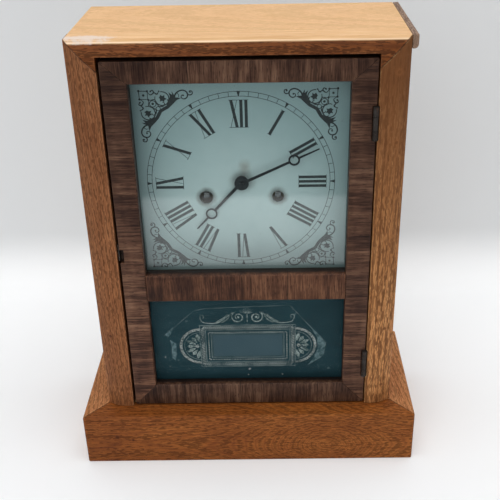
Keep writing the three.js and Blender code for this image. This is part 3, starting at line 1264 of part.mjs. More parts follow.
function addGong() {
  const steps = 40;
  const coil = Array.from({ length: steps + 1 }, (_, i) => {
    const radius = GONG_RADIUS - ((GONG_RADIUS - GONG_INNER) * i) / steps;
    const turn = Math.PI - (TAU * GONG_TURNS * i) / steps;
    return [GONG_X + radius * Math.cos(turn), GONG_Y, GONG_Z + radius * Math.sin(turn)];
  });
  add('gong_coil', wire(coil, GONG_WIRE, 5, steps), STEEL);
  const neck = GONG_INNER - GONG_WIRE - 2 * SEAT;
  const post = turned(GONG_X, GONG_Z, [
    [0, GONG_Y - GONG_CAP.height],
    [GONG_CAP.radius, GONG_Y - GONG_CAP.height],
    [neck, GONG_Y - GONG_CAP.shoulder],
    [neck, BACK_INNER - GONG_FOOT.height - GONG_FOOT.taper],
    [GONG_FOOT.radius, BACK_INNER - GONG_FOOT.height],
    [GONG_FOOT.radius, BACK_INNER - SEAM],
    [0, BACK_INNER - SEAM],
  ], 18);
  add('gong_base', post, IRON);
}

// ---- The whole clock ----------------------------------------------------------------------------

addBase();
addCaseBoards();
addCorniceStrip();
addFrontFrame();
addDoorFrame();
addGlass();
addHinge('lower', HINGE_HEIGHTS[0]);
addHinge('upper', HINGE_HEIGHTS[1]);
addLatch();
addDial();
addPlates();
addSpringDrive('time');
addSpringDrive('strike');
addCentreWheel();
addThirdWheel();
addEscapeWheel();
addVerge();
addEscapeCock();
addPendulum();
addMotionWork();
addPinWheel();
addLockingWheel();
addFly();
addCountWheel();
addHammer();
addGong();

export default clock;
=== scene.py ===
"""The looks of a small shelf clock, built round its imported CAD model.

Metres, +Z up, the dial faces -Y. Printed work on the dial and the tablet is drawn in millimetres
as (x, z) points seen from the front.
"""
import json
import math

import bmesh
import bpy
from mathutils import Matrix, Vector


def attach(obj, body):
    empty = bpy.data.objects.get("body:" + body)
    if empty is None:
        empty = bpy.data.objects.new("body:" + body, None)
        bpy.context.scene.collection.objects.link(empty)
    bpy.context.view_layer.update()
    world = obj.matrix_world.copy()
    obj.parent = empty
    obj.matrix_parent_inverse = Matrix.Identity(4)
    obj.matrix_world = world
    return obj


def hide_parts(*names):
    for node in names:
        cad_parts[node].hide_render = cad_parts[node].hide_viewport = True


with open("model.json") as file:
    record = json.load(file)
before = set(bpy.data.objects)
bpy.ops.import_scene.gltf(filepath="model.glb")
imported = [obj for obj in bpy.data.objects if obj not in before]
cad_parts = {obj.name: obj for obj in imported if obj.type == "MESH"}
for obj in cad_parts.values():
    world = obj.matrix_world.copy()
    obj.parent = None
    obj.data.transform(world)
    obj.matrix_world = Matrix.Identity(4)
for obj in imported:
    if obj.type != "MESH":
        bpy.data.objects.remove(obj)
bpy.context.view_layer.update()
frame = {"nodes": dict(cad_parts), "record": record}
NODES = frame["nodes"]

MM = 0.001
X, Y, Z = 0, 1, 2

# ---- Places taken from the CAD model, in millimetres ---------------------------------------------


def ends(node, axis):
    """The lowest and the highest place of a node on an axis, at rest."""
    places = [v.co[axis] for v in NODES[node].data.vertices]
    return round(min(places) / MM, 3), round(max(places) / MM, 3)


DIAL_FACE = ends("dial", Y)[0]
DIAL_CENTRE = (-1.4, 212.6)  # of the printed rings, a little off the hands' arbor
PRINT_THICKNESS = 0.03
PRINT_LIFT = 0.01  # keeps the print clear of the sheet
GLASS_BACK = ends("glass_tablet", Y)[1]
TABLET_SIGHT = (
    ends("door_stile_left", X)[1],
    ends("door_stile_right", X)[0],
    ends("door_rail_bottom", Z)[1],
    ends("door_rail_middle", Z)[0],
)


def shown(name, data):
    made = bpy.data.objects.new(name, data)
    bpy.context.scene.collection.objects.link(made)
    return made


# ---- Camera --------------------------------------------------------------------------------------

# Fitted to the photograph.
CAMERA_PLACE = Vector((0.020077, -0.534575, 0.437693))
CAMERA_YAW = math.radians(-0.344)
CAMERA_PITCH = math.radians(28.336)
CAMERA_ROLL = math.radians(-0.918)
CAMERA_LENS = 59.634
CAMERA_SHIFT = (-0.0386, 0.0042)


def place_camera():
    forward = Vector(
        (
            math.sin(CAMERA_YAW) * math.cos(CAMERA_PITCH),
            math.cos(CAMERA_YAW) * math.cos(CAMERA_PITCH),
            -math.sin(CAMERA_PITCH),
        )
    )
    level = Vector((math.cos(CAMERA_YAW), -math.sin(CAMERA_YAW), 0))
    upright = level.cross(forward)
    right = level * math.cos(CAMERA_ROLL) + upright * math.sin(CAMERA_ROLL)
    up = upright * math.cos(CAMERA_ROLL) - level * math.sin(CAMERA_ROLL)
    data = bpy.data.cameras.new("camera")
    data.lens = CAMERA_LENS
    data.sensor_fit = "HORIZONTAL"
    data.sensor_width = 36
    data.shift_x, data.shift_y = CAMERA_SHIFT
    data.clip_start = 0.01
    data.clip_end = 20
    camera = shown("camera", data)
    turn = Matrix((right, up, -forward)).transposed().to_4x4()
    camera.matrix_world = Matrix.Translation(CAMERA_PLACE) @ turn
    bpy.context.scene.camera = camera


# ---- Shader arithmetic ---------------------------------------------------------------------------


class Signal:
    """A shader value that Python's arithmetic works on: each operator adds its Math node."""

    def __init__(self, finish, socket):
        self.finish = finish
        self.socket = socket

    def __add__(self, other):
        return self.finish.maths("ADD", self, other)

    def __radd__(self, other):
        return self.finish.maths("ADD", other, self)

    def __sub__(self, other):
        return self.finish.maths("SUBTRACT", self, other)

    def __rsub__(self, other):
        return self.finish.maths("SUBTRACT", other, self)

    def __mul__(self, other):
        return self.finish.maths("MULTIPLY", self, other)

    def __truediv__(self, other):
        return self.finish.maths("DIVIDE", self, other)

    def __pow__(self, other):
        return self.finish.maths("POWER", self, other)


class Finish:
    """One material and the nodes that make it."""

    def __init__(self, name):
        self.material = bpy.data.materials.new(name)
        self.material.use_nodes = True
        self.tree = self.material.node_tree
        self.tree.nodes.clear()
        self.coordinates = None

    def node(self, kind, settings=None, sockets=None, out=0):
        """Adds a node: its settings first, then its sockets' values or links. Gives one output."""
        made = self.tree.nodes.new(kind)
        for key, value in (settings or {}).items():
            if key == "stops":
                self.set_stops(made.color_ramp, value)
            else:
                setattr(made, key, value)
        for key, value in (sockets or {}).items():
            if isinstance(value, Signal):
                self.tree.links.new(value.socket, made.inputs[key])
            else:
                made.inputs[key].default_value = value
        return Signal(self, made.outputs[out]) if made.outputs else None

    @staticmethod
    def set_stops(ramp, stops):
        while len(ramp.elements) > 1:
            ramp.elements.remove(ramp.elements[-1])
        ramp.elements[0].position = stops[0][0]
        ramp.elements[0].color = (*stops[0][1], 1)
        for position, colour in stops[1:]:
            ramp.elements.new(position).color = (*colour, 1)

    def maths(self, operation, a, b=0.0):
        return self.node("ShaderNodeMath", {"operation": operation}, {0: a, 1: b})

    def here(self):
        """The point on the object, which moves with its piece."""
        if self.coordinates is None:
            self.coordinates = self.node("ShaderNodeTexCoord", out="Object")
        return self.coordinates

    def split(self, vector):
        parts = self.node("ShaderNodeSeparateXYZ", None, {0: vector})
        outputs = parts.socket.node.outputs
        return [Signal(self, outputs[i]) for i in range(3)]

    def joined(self, x, y, z):
        return self.node("ShaderNodeCombineXYZ", None, {0: x, 1: y, 2: z})

    def noise(self, vector, scale, detail=3.0, rough=0.55, distortion=0.0):
        return self.node(
            "ShaderNodeTexNoise",
            None,
            {
                "Vector": vector,
                "Scale": scale,
                "Detail": detail,
                "Roughness": rough,
                "Distortion": distortion,
            },
            "Fac",
        )

    def between(self, value, low, high, smooth=True):
        """0 below low, 1 above high, and a ramp between them."""
        kind = "SMOOTHSTEP" if smooth else "LINEAR"
        return self.node(
            "ShaderNodeMapRange",
            {"interpolation_type": kind},
            {"Value": value, "From Min": low, "From Max": high},
        )

    def ramp(self, value, stops):
        return self.node("ShaderNodeValToRGB", {"stops": stops}, {"Fac": value}, "Color")

    def blend(self, amount, a, b):
        """Colour a turning into colour b by the amount."""
        one, two = [(*v, 1) if isinstance(v, tuple) else v for v in (a, b)]
        return self.node(
            "ShaderNodeMix", {"data_type": "RGBA"}, {0: amount, 6: one, 7: two}, 2
        )

    def bump(self, height, depth, strength=1.0, under=None):
        sockets = {"Height": height, "Distance": depth, "Strength": strength}
        if under is not None:
            sockets["Normal"] = under
        return self.node("ShaderNodeBump", None, sockets, "Normal")

    def worn_edge(self, width):
        """1 along the piece's arrises and 0 on its flats."""
        softened = self.node("ShaderNodeBevel", {"samples": 4}, {"Radius": width})
        plain = self.node("ShaderNodeNewGeometry", None, None, "Normal")
        alike = self.node(
            "ShaderNodeVectorMath", {"operation": "DOT_PRODUCT"}, {0: softened, 1: plain}, "Value"
        )
        return self.between(1 - alike, 0.02, 0.22)

    def surface(self, **sockets):
        """Ends the material in a Principled shader. Socket names use _ for spaces."""
        values = {key.replace("_", " "): value for key, value in sockets.items()}
        return self.end(self.node("ShaderNodeBsdfPrincipled", None, values))

    def end(self, shader):
        self.node("ShaderNodeOutputMaterial", None, {"Surface": shader})
        return self.material


# ---- Wood ----------------------------------------------------------------------------------------


def away_from(centre, across, up):
    """The distance from a centre, seen along the third axis."""
    return ((across - centre[0]) ** 2 + (up - centre[1]) ** 2) ** 0.5


SEAM_EDGE = (0.00012, 0.0005)  # where a dark joint starts to fade and where it ends


def corner_seam(f, axes, corner, inner, second):
    """1 along the mitre between two boards, on the line from the outer corner to the inner one."""
    run = (inner[0] - corner[0], inner[1] - corner[1])
    length = math.hypot(*run)
    side = f.maths("ABSOLUTE", axes[X]) - corner[0]
    off = side * (run[1] / length) - (axes[second] - corner[1]) * (run[0] / length)
    return 1 - f.between(f.maths("ABSOLUTE", off), *SEAM_EDGE)


def oak(
    name,
    along,
    pith,
    lean,
    tone,
    ring=0.0032,
    wander=0.006,
    bow=None,
    dash=0.0,
    marks=(),
    painted_shade=0.0,
    even=1.0,
    crown=None,
    mitre=None,
    scuff=None,
):
    """Old varnished oak. The year rings lie round a pith line, which leans across the board.

    bow is (middle, reach, depth) of a swelling that cuts the rings into ovals, dash the strength
    of the long open pores, and marks a list of (axis, axis, centre, radius) of dark spots.
    painted_shade darkens the upper end with painted shade, and even below 1 calms the board's
    patches. crown is the pair of heights between which it turns into a pale upper edge, partly
    bleached wood and partly painted light from above, with a painted highlight along its arris.
    mitre is (outer corner, inner corner, second axis) of a dark joint, and scuff the (x, y, half
    length, half width) of a whitened patch.
    """
    f = Finish(name)
    axes = f.split(f.here())
    a = axes[along]
    u, v = [axes[i] for i in range(3) if i != along]
    slow = f.noise(f.joined(a * 5, u * 22, v * 22), 1.0, 2.0)
    away_u = u - pith[0] + a * lean[0] + (slow - 0.5) * wander
    if bow is not None:
        away_u = away_u + f.maths("TANH", (a - bow[0]) / bow[1]) * bow[2]
    away_v = v - pith[1] + a * lean[1]
    distance = (away_u * away_u + away_v * away_v) ** 0.5
    wobble = f.noise(f.joined(a * 30, u * 130, v * 130), 1.0, 3.0)
    year = f.maths("FRACT", (distance + (wobble - 0.5) * 0.0022) / ring)
    early = f.between(year, 0.0, 0.3) * (1 - f.between(year, 0.42, 0.8))
    fibre = f.noise(f.joined(a * 24, u * 1000, v * 1000), 1.0, 4.0, 0.62)
    fleck = f.noise(f.joined(a * 270, u * 1700, v * 1700), 1.0, 2.0, 0.45)
    cloud = f.noise(f.here(), 28.0, 3.0, 0.6)
    stain = f.noise(f.joined(a * 8, u * 48, v * 48), 1.0, 3.0)
    pores = f.between(fleck + early * 0.2 + (stain - 0.5) * 0.1, 0.56, 0.66)
    body = f.ramp(
        (fibre - 0.5) * 0.62 + early * 0.08 + (cloud + stain - 1) * 0.36 * even + 0.44,
        [(0.22, tone[0]), (0.46, tone[1]), (0.7, tone[2])],
    )
    dark = tuple(c * 0.3 for c in tone[0])
    late = f.between(year, 0.66, 0.86) * (1 - f.between(year, 0.9, 1.0))
    colour = f.blend(late * 0.35 * even, body, tuple(c * 0.75 for c in tone[0]))
    colour = f.blend(pores * 0.62 * even, colour, dark)
    # Painted shade: the board darkens towards its upper end, standing for the light that falls less
    # there than on the lower part.
    if painted_shade:
        high = f.between(axes[Z], 0.1, 0.29, smooth=False)
        colour = f.blend(high * painted_shade, colour, tuple(c * 0.5 for c in tone[0]))
    if dash:
        open_pores = f.noise(f.joined(a * 150, u * 700, v * 700), 1.0, 1.0, 0.4)
        rows = f.noise(f.joined(a * 5, u * 520, v * 520), 1.0, 1.0, 0.5)
        dashes = f.between(open_pores * 0.55 + rows * 0.55, 0.56, 0.62)
        colour = f.blend(dashes * dash, colour, tuple(c * 0.45 for c in tone[0]))
    for first, second, centre, radius in marks:
        away = away_from(centre, axes[first], axes[second])
        away = away + (fleck - 0.5) * 0.0008
        colour = f.blend((1 - f.between(away, radius * 0.7, radius * 1.3)) * 0.85, colour, dark)
        colour = f.blend((1 - f.between(away, radius, radius * 3.2)) * 0.3, colour, tone[0])
    # Painted light with bleaching: above the crown's heights the rail turns to the top board's pale
    # tones, partly bleached wood and partly painted light from overhead.
    if crown is not None:
        height = axes[Z] + (fibre - 0.5) * 0.0005 + (cloud - 0.5) * 0.0006
        bleached_and_lit = f.blend(f.between(fibre, 0.3, 0.7), TOP_TONE[0], TOP_TONE[2])
        colour = f.blend(f.between(height, *crown), colour, bleached_and_lit)
        # Painted highlight: a thin bright line along the crown's front arris, partly worn wood.
        arris = 1 - f.between(f.maths("ABSOLUTE", height - crown[1]), 0.0, 0.0007)
        colour = f.blend(arris * f.between(stain, 0.25, 0.5), colour, (0.92, 0.68, 0.46))
    ragged = f.noise(f.here(), 210.0, 4.0, 0.7)
    if scuff is not None:
        off_x = (axes[X] - scuff[0]) / scuff[2]
        off_y = (axes[Y] - scuff[1]) / scuff[3]
        away = (off_x * off_x + off_y * off_y) ** 0.5
        patch = 1 - f.between(away + (ragged - 0.5) * 1.6, 0.5, 1.0)
        upper = f.between(axes[Z], 0.3128, 0.3136)
        colour = f.blend(patch * upper * 0.75, colour, (0.72, 0.63, 0.57))
    if mitre is not None:
        colour = f.blend(corner_seam(f, axes, *mitre) * 0.8, colour, (0.03, 0.012, 0.006))
    rub = f.worn_edge(0.0016) * f.between(ragged, 0.4, 0.66)
    pale = tuple(min(0.9, c * 1.5 + 0.04) for c in tone[2])
    colour = f.blend(rub * 0.5, colour, pale)
    relief = f.bump(1 - pores, 0.00008, 0.6, f.bump(fibre, 0.00008, 0.4))
    return f.surface(
        Base_Color=colour,
        Roughness=0.46 + pores * 0.2 + (cloud - 0.5) * 0.14 + rub * 0.15,
        Normal=relief,
        Specular_IOR_Level=0.13,
    )


# Each board's tones are its dark, middle and light colour.
STILE_TONE = ((0.17, 0.056, 0.02), (0.32, 0.124, 0.046), (0.46, 0.205, 0.09))
GOLD_TONE = ((0.29, 0.105, 0.032), (0.57, 0.25, 0.088), (0.71, 0.38, 0.16))
RAIL_TONE = ((0.075, 0.019, 0.004), (0.16, 0.046, 0.01), (0.25, 0.09, 0.026))
BASE_TONE = ((0.13, 0.031, 0.006), (0.285, 0.084, 0.015), (0.42, 0.145, 0.03))
SLOPE_TONE = ((0.34, 0.125, 0.042), (0.53, 0.22, 0.083), (0.65, 0.33, 0.14))
# The top board's pale tones: partly its bleached colour, partly painted sheen of the overhead
# light.
TOP_TONE = ((0.6, 0.34, 0.155), (0.73, 0.44, 0.215), (0.8, 0.52, 0.28))
STRIP_TONE = ((0.16, 0.09, 0.055), (0.28, 0.175, 0.12), (0.42, 0.29, 0.21))
FRAME_INNER, FRAME_OUTER = [end * MM for end in ends("frame_right", X)]
FRAME_LOW, FRAME_HIGH = [end * MM for end in ends("frame_top", Z)]
FRAME_MITRE = ((FRAME_OUTER, FRAME_HIGH), (FRAME_INNER, FRAME_LOW), Z)
BASE_MITRE = ((0.1225, -0.055), (0.1051, -0.0376), Y)
NAIL = 0.0011
TOP_SCUFF = (-0.092, -0.0345, 0.024, 0.006)
LEFT_MARKS = ((X, Z, (-0.0974, 0.1053), NAIL),)
RIGHT_MARKS = (
    (X, Z, (0.0978, 0.2945), NAIL),
    (X, Z, (0.0985, 0.249), NAIL),
    (X, Z, (0.0981, 0.1087), NAIL),
    (X, Z, (0.0981, 0.0594), NAIL),
)
KNOTS = ((X, Z, (-0.0986, 0.0235), 0.0014), (X, Z, (-0.0869, 0.0205), 0.001))


BANDING_TONE = (
    (0.28, (0.017, 0.007, 0.0045)),
    (0.44, (0.066, 0.027, 0.016)),
    (0.58, (0.16, 0.074, 0.042)),
    (0.74, (0.31, 0.165, 0.1)),
)


LEDGE_DARKENING = ((-0.0402, -0.0362), (-0.0338, -0.0326))  # the depths where it starts and ends


def cross_banding(name, along, joints, warm=0.0, light=0.5, painted_shade=0.0):
    """Dark cross-banded veneer. The grain runs along the given axis, and the sheets meet at the
    joints, which are places on the axis across it. The ledges in front of the glass are darkened
    almost to black.
    """
    f = Finish(name)
    axes = f.split(f.here())
    a = axes[along]
    u, v = [axes[i] for i in range(3) if i != along]
    across = axes[X + Z - along]
    sheet = 0.0
    seam = 0.0
    for i, joint in enumerate(joints):
        sheet = sheet + f.between(across, joint - 0.0001, joint + 0.0001) * (0.9 - 1.7 * (i % 2))
        near = f.maths("ABSOLUTE", across - joint + (f.noise(f.here(), 90.0) - 0.5) * 0.0006)
        seam = seam + (1 - f.between(near, 0.0001, 0.0005))
    fine = f.noise(f.joined(a * 60, u * 1150 + sheet * 7, v * 1150), 1.0, 4.0, 0.6)
    broad = f.noise(f.joined(a * 16, u * 260 + sheet * 5, v * 260), 1.0, 3.0, 0.6)
    curl = f.noise(f.joined(a * 130, u * 60, v * 60), 1.0, 2.0, 0.5, 0.6)
    blotch = f.noise(f.here(), 34.0, 3.0)
    shade = fine * 0.6 + broad * 0.55 + (curl - 0.5) * 0.16 + (blotch - 0.5) * 0.45
    colour = f.ramp(
        shade + sheet * 0.035 - 0.06,
        [
            (at, (light * (r + r * 0.4 * warm), light * (g + g * 0.2 * warm), light * b))
            for at, (r, g, b) in BANDING_TONE
        ],
    )
    pores = f.between(f.noise(f.joined(a * 170, u * 1300, v * 1300), 1.0, 2.0), 0.57, 0.66)
    colour = f.blend(pores * 0.62, colour, (0.014, 0.006, 0.005))
    colour = f.blend(f.maths("MINIMUM", seam, 1) * 0.7, colour, (0.006, 0.004, 0.003))
    # Painted shade: the veneer darkens towards its upper end, standing for the light that falls
    # less there.
    if painted_shade:
        high = f.between(axes[Z], 0.06, 0.29, smooth=False)
        colour = f.blend(high * painted_shade, colour, (0.012, 0.006, 0.004))
    rub = f.worn_edge(0.0012) * f.between(f.noise(f.here(), 260.0, 3.0), 0.42, 0.66)
    colour = f.blend(rub * 0.55, colour, (0.2, 0.1, 0.06))
    # The ledges in front of the glass darken almost to black.
    ledge = f.between(axes[Y] + (blotch - 0.5) * 0.001, *LEDGE_DARKENING[0])
    ledge = ledge * (1 - f.between(axes[Y], *LEDGE_DARKENING[1]))
    colour = f.blend(ledge * 0.9, colour, (0.005, 0.004, 0.004))
    relief = f.bump(fine, 0.00006, 0.5, f.bump(curl, 0.0002, 0.25))
    return f.surface(
        Base_Color=colour,
        Roughness=0.44 + (blotch - 0.5) * 0.16 + pores * 0.2,
        Normal=relief,
        Specular_IOR_Level=0.16,
    )


def pine(name, along):
    """Unfinished softwood, greyed and dusty."""
    f = Finish(name)
    axes = f.split(f.here())
    a = axes[along]
    u, v = [axes[i] for i in range(3) if i != along]
    warp = f.noise(f.joined(a * 3, u * 10, v * 10), 1.0, 2.0)
    spread = f.noise(f.joined(a * 1.5, u * 6, v * 6), 1.0, 2.0)
    rings = f.maths("SINE", (u + v * 0.35 + (warp + spread - 1) * 0.05 + a * 0.04) * 640)
    fine = f.noise(f.joined(a * 10, u * 700, v * 700), 1.0, 4.0)
    dust = f.noise(f.here(), 30.0, 4.0, 0.65)
    colour = f.ramp(
        rings * 0.05 + fine * 0.45 + spread * 0.25 + dust * 0.3 - 0.1,
        [
            (0.15, (0.2, 0.112, 0.052)),
            (0.45, (0.37, 0.232, 0.118)),
            (0.8, (0.5, 0.34, 0.19)),
        ],
    )
    colour = f.blend(f.between(dust, 0.5, 0.8) * 0.35, colour, (0.16, 0.11, 0.07))
    relief = f.bump(fine + rings * 0.06, 0.00015, 0.7)
    return f.surface(Base_Color=colour, Roughness=0.72 + (dust - 0.5) * 0.2, Normal=relief)


# ---- Paint, glass and metals ---------------------------------------------------------------------


def putty_finish():
    f = Finish("hard_putty")
    grit = f.noise(f.here(), 420.0, 4.0, 0.7)
    smear = f.noise(f.here(), 60.0, 3.0)
    colour = f.ramp(
        grit * 0.6 + smear * 0.4, [(0.3, (0.03, 0.024, 0.02)), (0.7, (0.085, 0.07, 0.055))]
    )
    return f.surface(Base_Color=colour, Roughness=0.7 + grit * 0.2, Normal=f.bump(grit, 0.0003))


DIAL_GRIME = (  # round the winding holes and the hub: the centre, its reach and its strength
    ((-0.0256, 0.2017), 0.0085, 0.85),
    ((0.0236, 0.2017), 0.0085, 0.8),
    ((-0.001, 0.2132), 0.0105, 0.45),
)


def dial_paint():
    """White paint on sheet, with grimy holes and a rust stain over the hub, and painted shade
    greying it at its top and round its edges.
    """
    f = Finish("dial_paint")
    x, _, z = f.split(f.here())
    cloud = f.noise(f.here(), 16.0, 4.0, 0.6)
    mottle = f.noise(f.here(), 150.0, 4.0, 0.65)
    colour = f.ramp(
        cloud * 0.7 + mottle * 0.3,
        [(0.3, (0.52, 0.645, 0.65)), (0.55, (0.6, 0.715, 0.715)), (0.78, (0.66, 0.755, 0.75))],
    )
    # Painted shade: the paint darkens towards the sight edges, where the door's frame shades the
    # dial.
    edge_x = 1 - f.between(0.0745 - f.maths("ABSOLUTE", x + 0.0014), 0.0, 0.016)
    edge_z = 1 - f.between(0.0815 - f.maths("ABSOLUTE", z - 0.2196), 0.0, 0.016)
    edge_shade = f.maths("MAXIMUM", edge_x, edge_z) * (0.35 + cloud * 0.5)
    colour = f.blend(edge_shade * 0.6, colour, (0.25, 0.33, 0.33))
    # Painted shade: the paint greys away from a point a little below the middle, most towards the
    # top, where the door's top rail shades the dial.
    from_lit_spot = away_from((-0.001, 0.18), x, z)
    colour = f.blend(f.between(from_lit_spot, 0.02, 0.105) * 0.62, colour, (0.2, 0.33, 0.345))
    for centre, reach, depth in DIAL_GRIME:
        away = away_from(centre, x, z)
        near = 1 - f.between(away + (mottle - 0.5) * 0.004, reach * 0.42, reach)
        colour = f.blend(near * depth, colour, (0.1, 0.09, 0.075))
    stain = ((x - 0.001) ** 2 * 2.2 + (z - 0.2235) ** 2) ** 0.5
    brown = (1 - f.between(stain + (mottle - 0.5) * 0.006, 0.001, 0.008)) * 0.45
    colour = f.blend(brown, colour, (0.22, 0.13, 0.07))
    spots = f.between(f.noise(f.here(), 520.0, 2.0), 0.7, 0.76)
    colour = f.blend(spots * 0.35, colour, (0.16, 0.17, 0.15))
    return f.surface(
        Base_Color=colour, Roughness=0.4 + (cloud - 0.5) * 0.2, Normal=f.bump(mottle, 0.00008, 0.5)
    )


def print_black():
    """Printed black, worn greyer towards the bottom of the dial."""
    f = Finish("print_black")
    _, _, z = f.split(f.here())
    wear = f.noise(f.here(), 700.0, 3.0, 0.6)
    low = 1 - f.between(z, 0.148, 0.235)
    patchy = f.between(wear, 0.52, 0.72) * (0.25 + low * 0.55)
    colour = f.blend(low * 0.22 + patchy * 0.5, (0.012, 0.02, 0.022), (0.2, 0.25, 0.25))
    return f.surface(Base_Color=colour, Roughness=0.5 + wear * 0.2)


HEAD_ON = 0.042  # the share of light that plain glass mirrors when seen squarely
GRAZING_GAIN = 0.9


def window_pane(name, tint, mirror_share):
    """Thin window glass: a mirror at its surfaces by angle, clear for the rest."""
    f = Finish(name)
    mirror = f.node("ShaderNodeBsdfGlossy", None, {"Roughness": 0.012})
    through = f.node("ShaderNodeBsdfTransparent", None, {"Color": (*tint, 1)})
    grazing = f.node("ShaderNodeLayerWeight", None, {"Blend": 0.5}, "Facing")
    share = (HEAD_ON + grazing ** 5 * GRAZING_GAIN) * mirror_share
    return f.end(f.node("ShaderNodeMixShader", None, {0: share, 1: through, 2: mirror}))


def tablet_ground():
    """The dark ground painted behind the tablet's glass."""
    f = Finish("tablet_ground")
    cloud = f.noise(f.here(), 26.0, 4.0, 0.6)
    x, y, z = f.split(f.here())
    brush = f.noise(f.joined(x * 40, y * 300, z * 300), 1.0, 3.0)
    colour = f.ramp(
        cloud * 0.6 + brush * 0.4,
        [(0.3, (0.012, 0.032, 0.04)), (0.55, (0.02, 0.05, 0.063)), (0.8, (0.034, 0.07, 0.086))],
    )
    specks = f.between(f.noise(f.here(), 300.0, 2.0), 0.71, 0.74)
    colour = f.blend(specks * 0.4, colour, (0.2, 0.26, 0.27))
    return f.surface(Base_Color=colour, Roughness=0.6 + cloud * 0.2, Specular_IOR_Level=0.1)


def bronze_powder(name, light, dark, coarse=900.0):
    """Stencilled metal powder, thin and speckled."""
    f = Finish(name)
    speck = f.noise(f.here(), coarse, 3.0, 0.7)
    cloud = f.noise(f.here(), 90.0, 3.0)
    amount = f.between(speck * 0.7 + cloud * 0.4, 0.42, 0.68)
    colour = f.blend(amount, dark, light)
    return f.surface(Base_Color=colour, Roughness=0.55 + speck * 0.2, Specular_IOR_Level=0.15)


def window_shade_sheet():
    """Painted shade with dust: an opaque dark sheet in the tablet's clear light, standing for the
    shaded inside of the case.
    """
    f = Finish("window_shade_sheet")
    cloud = f.noise(f.here(), 70.0, 4.0, 0.6)
    colour = f.ramp(cloud, [(0.3, (0.055, 0.09, 0.112)), (0.7, (0.068, 0.106, 0.128))])
    return f.surface(Base_Color=colour, Roughness=0.8, Specular_IOR_Level=0.1)


def metal(name, bright, dull, roughness, metallic=1.0, grain=260.0, spots=0.0):
    """Old metal: a tarnish over the bright colour, rougher where it is dull."""
    f = Finish(name)
    cloud = f.noise(f.here(), grain * 0.3, 4.0, 0.6)
    fine = f.noise(f.here(), grain * 4, 3.0, 0.6)
    amount = f.between(cloud * 0.7 + fine * 0.3, 0.36, 0.66)
    colour = f.blend(amount, bright, dull)
    if spots:
        rust = f.between(f.noise(f.here(), grain * 1.6, 3.0), 0.62, 0.72)
        colour = f.blend(rust * spots, colour, (0.14, 0.06, 0.028))
    return f.surface(
        Base_Color=colour,
        Metallic=metallic,
        Roughness=roughness + amount * 0.18 + (fine - 0.5) * 0.1,
        Normal=f.bump(fine, 0.00005, 0.5),
    )


# ---- Dressed nodes and flat print ----------------------------------------------------------------


WELD = 0.000002
LEVEL = math.radians(0.6)  # faces that lean less than this are one face
EASED = 0.0004  # the width of a softened arris
THIN_EASED = 0.00012


def dressed(node, width, finish, body, flat=32):
    """A copy of a CAD node with eased arrises, which stands for the node. Edges that turn by more
    than flat degrees are arrises."""
    mesh = NODES[node].data.copy()
    shape = bmesh.new()
    shape.from_mesh(mesh)
    bmesh.ops.remove_doubles(shape, verts=shape.verts, dist=WELD)
    bmesh.ops.dissolve_limit(shape, angle_limit=LEVEL, verts=shape.verts, edges=shape.edges)
    for face in shape.faces:
        face.smooth = True
    shape.to_mesh(mesh)
    shape.free()
    mesh.materials.clear()
    mesh.materials.append(finish)
    piece = shown(node + "_dressed", mesh)
    mesh.set_sharp_from_angle(angle=math.radians(flat))
    if width:
        ease = piece.modifiers.new("eased", "BEVEL")
        ease.width = width
        ease.segments = 2
        ease.limit_method = "ANGLE"
        ease.angle_limit = math.radians(flat)
        ease.harden_normals = True
        ease.use_clamp_overlap = True
        ease.miter_outer = "MITER_ARC"
        clean = piece.modifiers.new("flat_faces", "WEIGHTED_NORMAL")
        clean.keep_sharp = False
        clean.weight = 80
    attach(piece, body)
    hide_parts(node)
    return piece


PUTTY_SLOPE = 0.0033  # how far the knife draws the inner edge back at the rear


def slope_putty(node, finish):
    """The putty line with its knifed slope: wide against the glass and thin at the rear."""
    piece = dressed(node, 0, finish, "door")
    points = piece.data.vertices
    low = [min(p.co[axis] for p in points) for axis in range(3)]
    high = [max(p.co[axis] for p in points) for axis in range(3)]
    middle = [(a + b) / 2 for a, b in zip(low, high)]
    for p in points:
        if p.co[Y] < middle[Y]:
            continue
        for axis in (X, Z):
            if low[axis] + MM < p.co[axis] < high[axis] - MM:
                p.co[axis] += PUTTY_SLOPE * (-1 if p.co[axis] < middle[axis] else 1)


def assign(finish, *nodes):
    for node in nodes:
        data = NODES[node].data
        data.materials.clear()
        data.materials.append(finish)


def new_piece(name, shape, finish, body):
    mesh = bpy.data.meshes.new(name)
    shape.to_mesh(mesh)
    shape.free()
    mesh.materials.append(finish)
    piece = shown(name, mesh)
    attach(piece, body)
    return piece


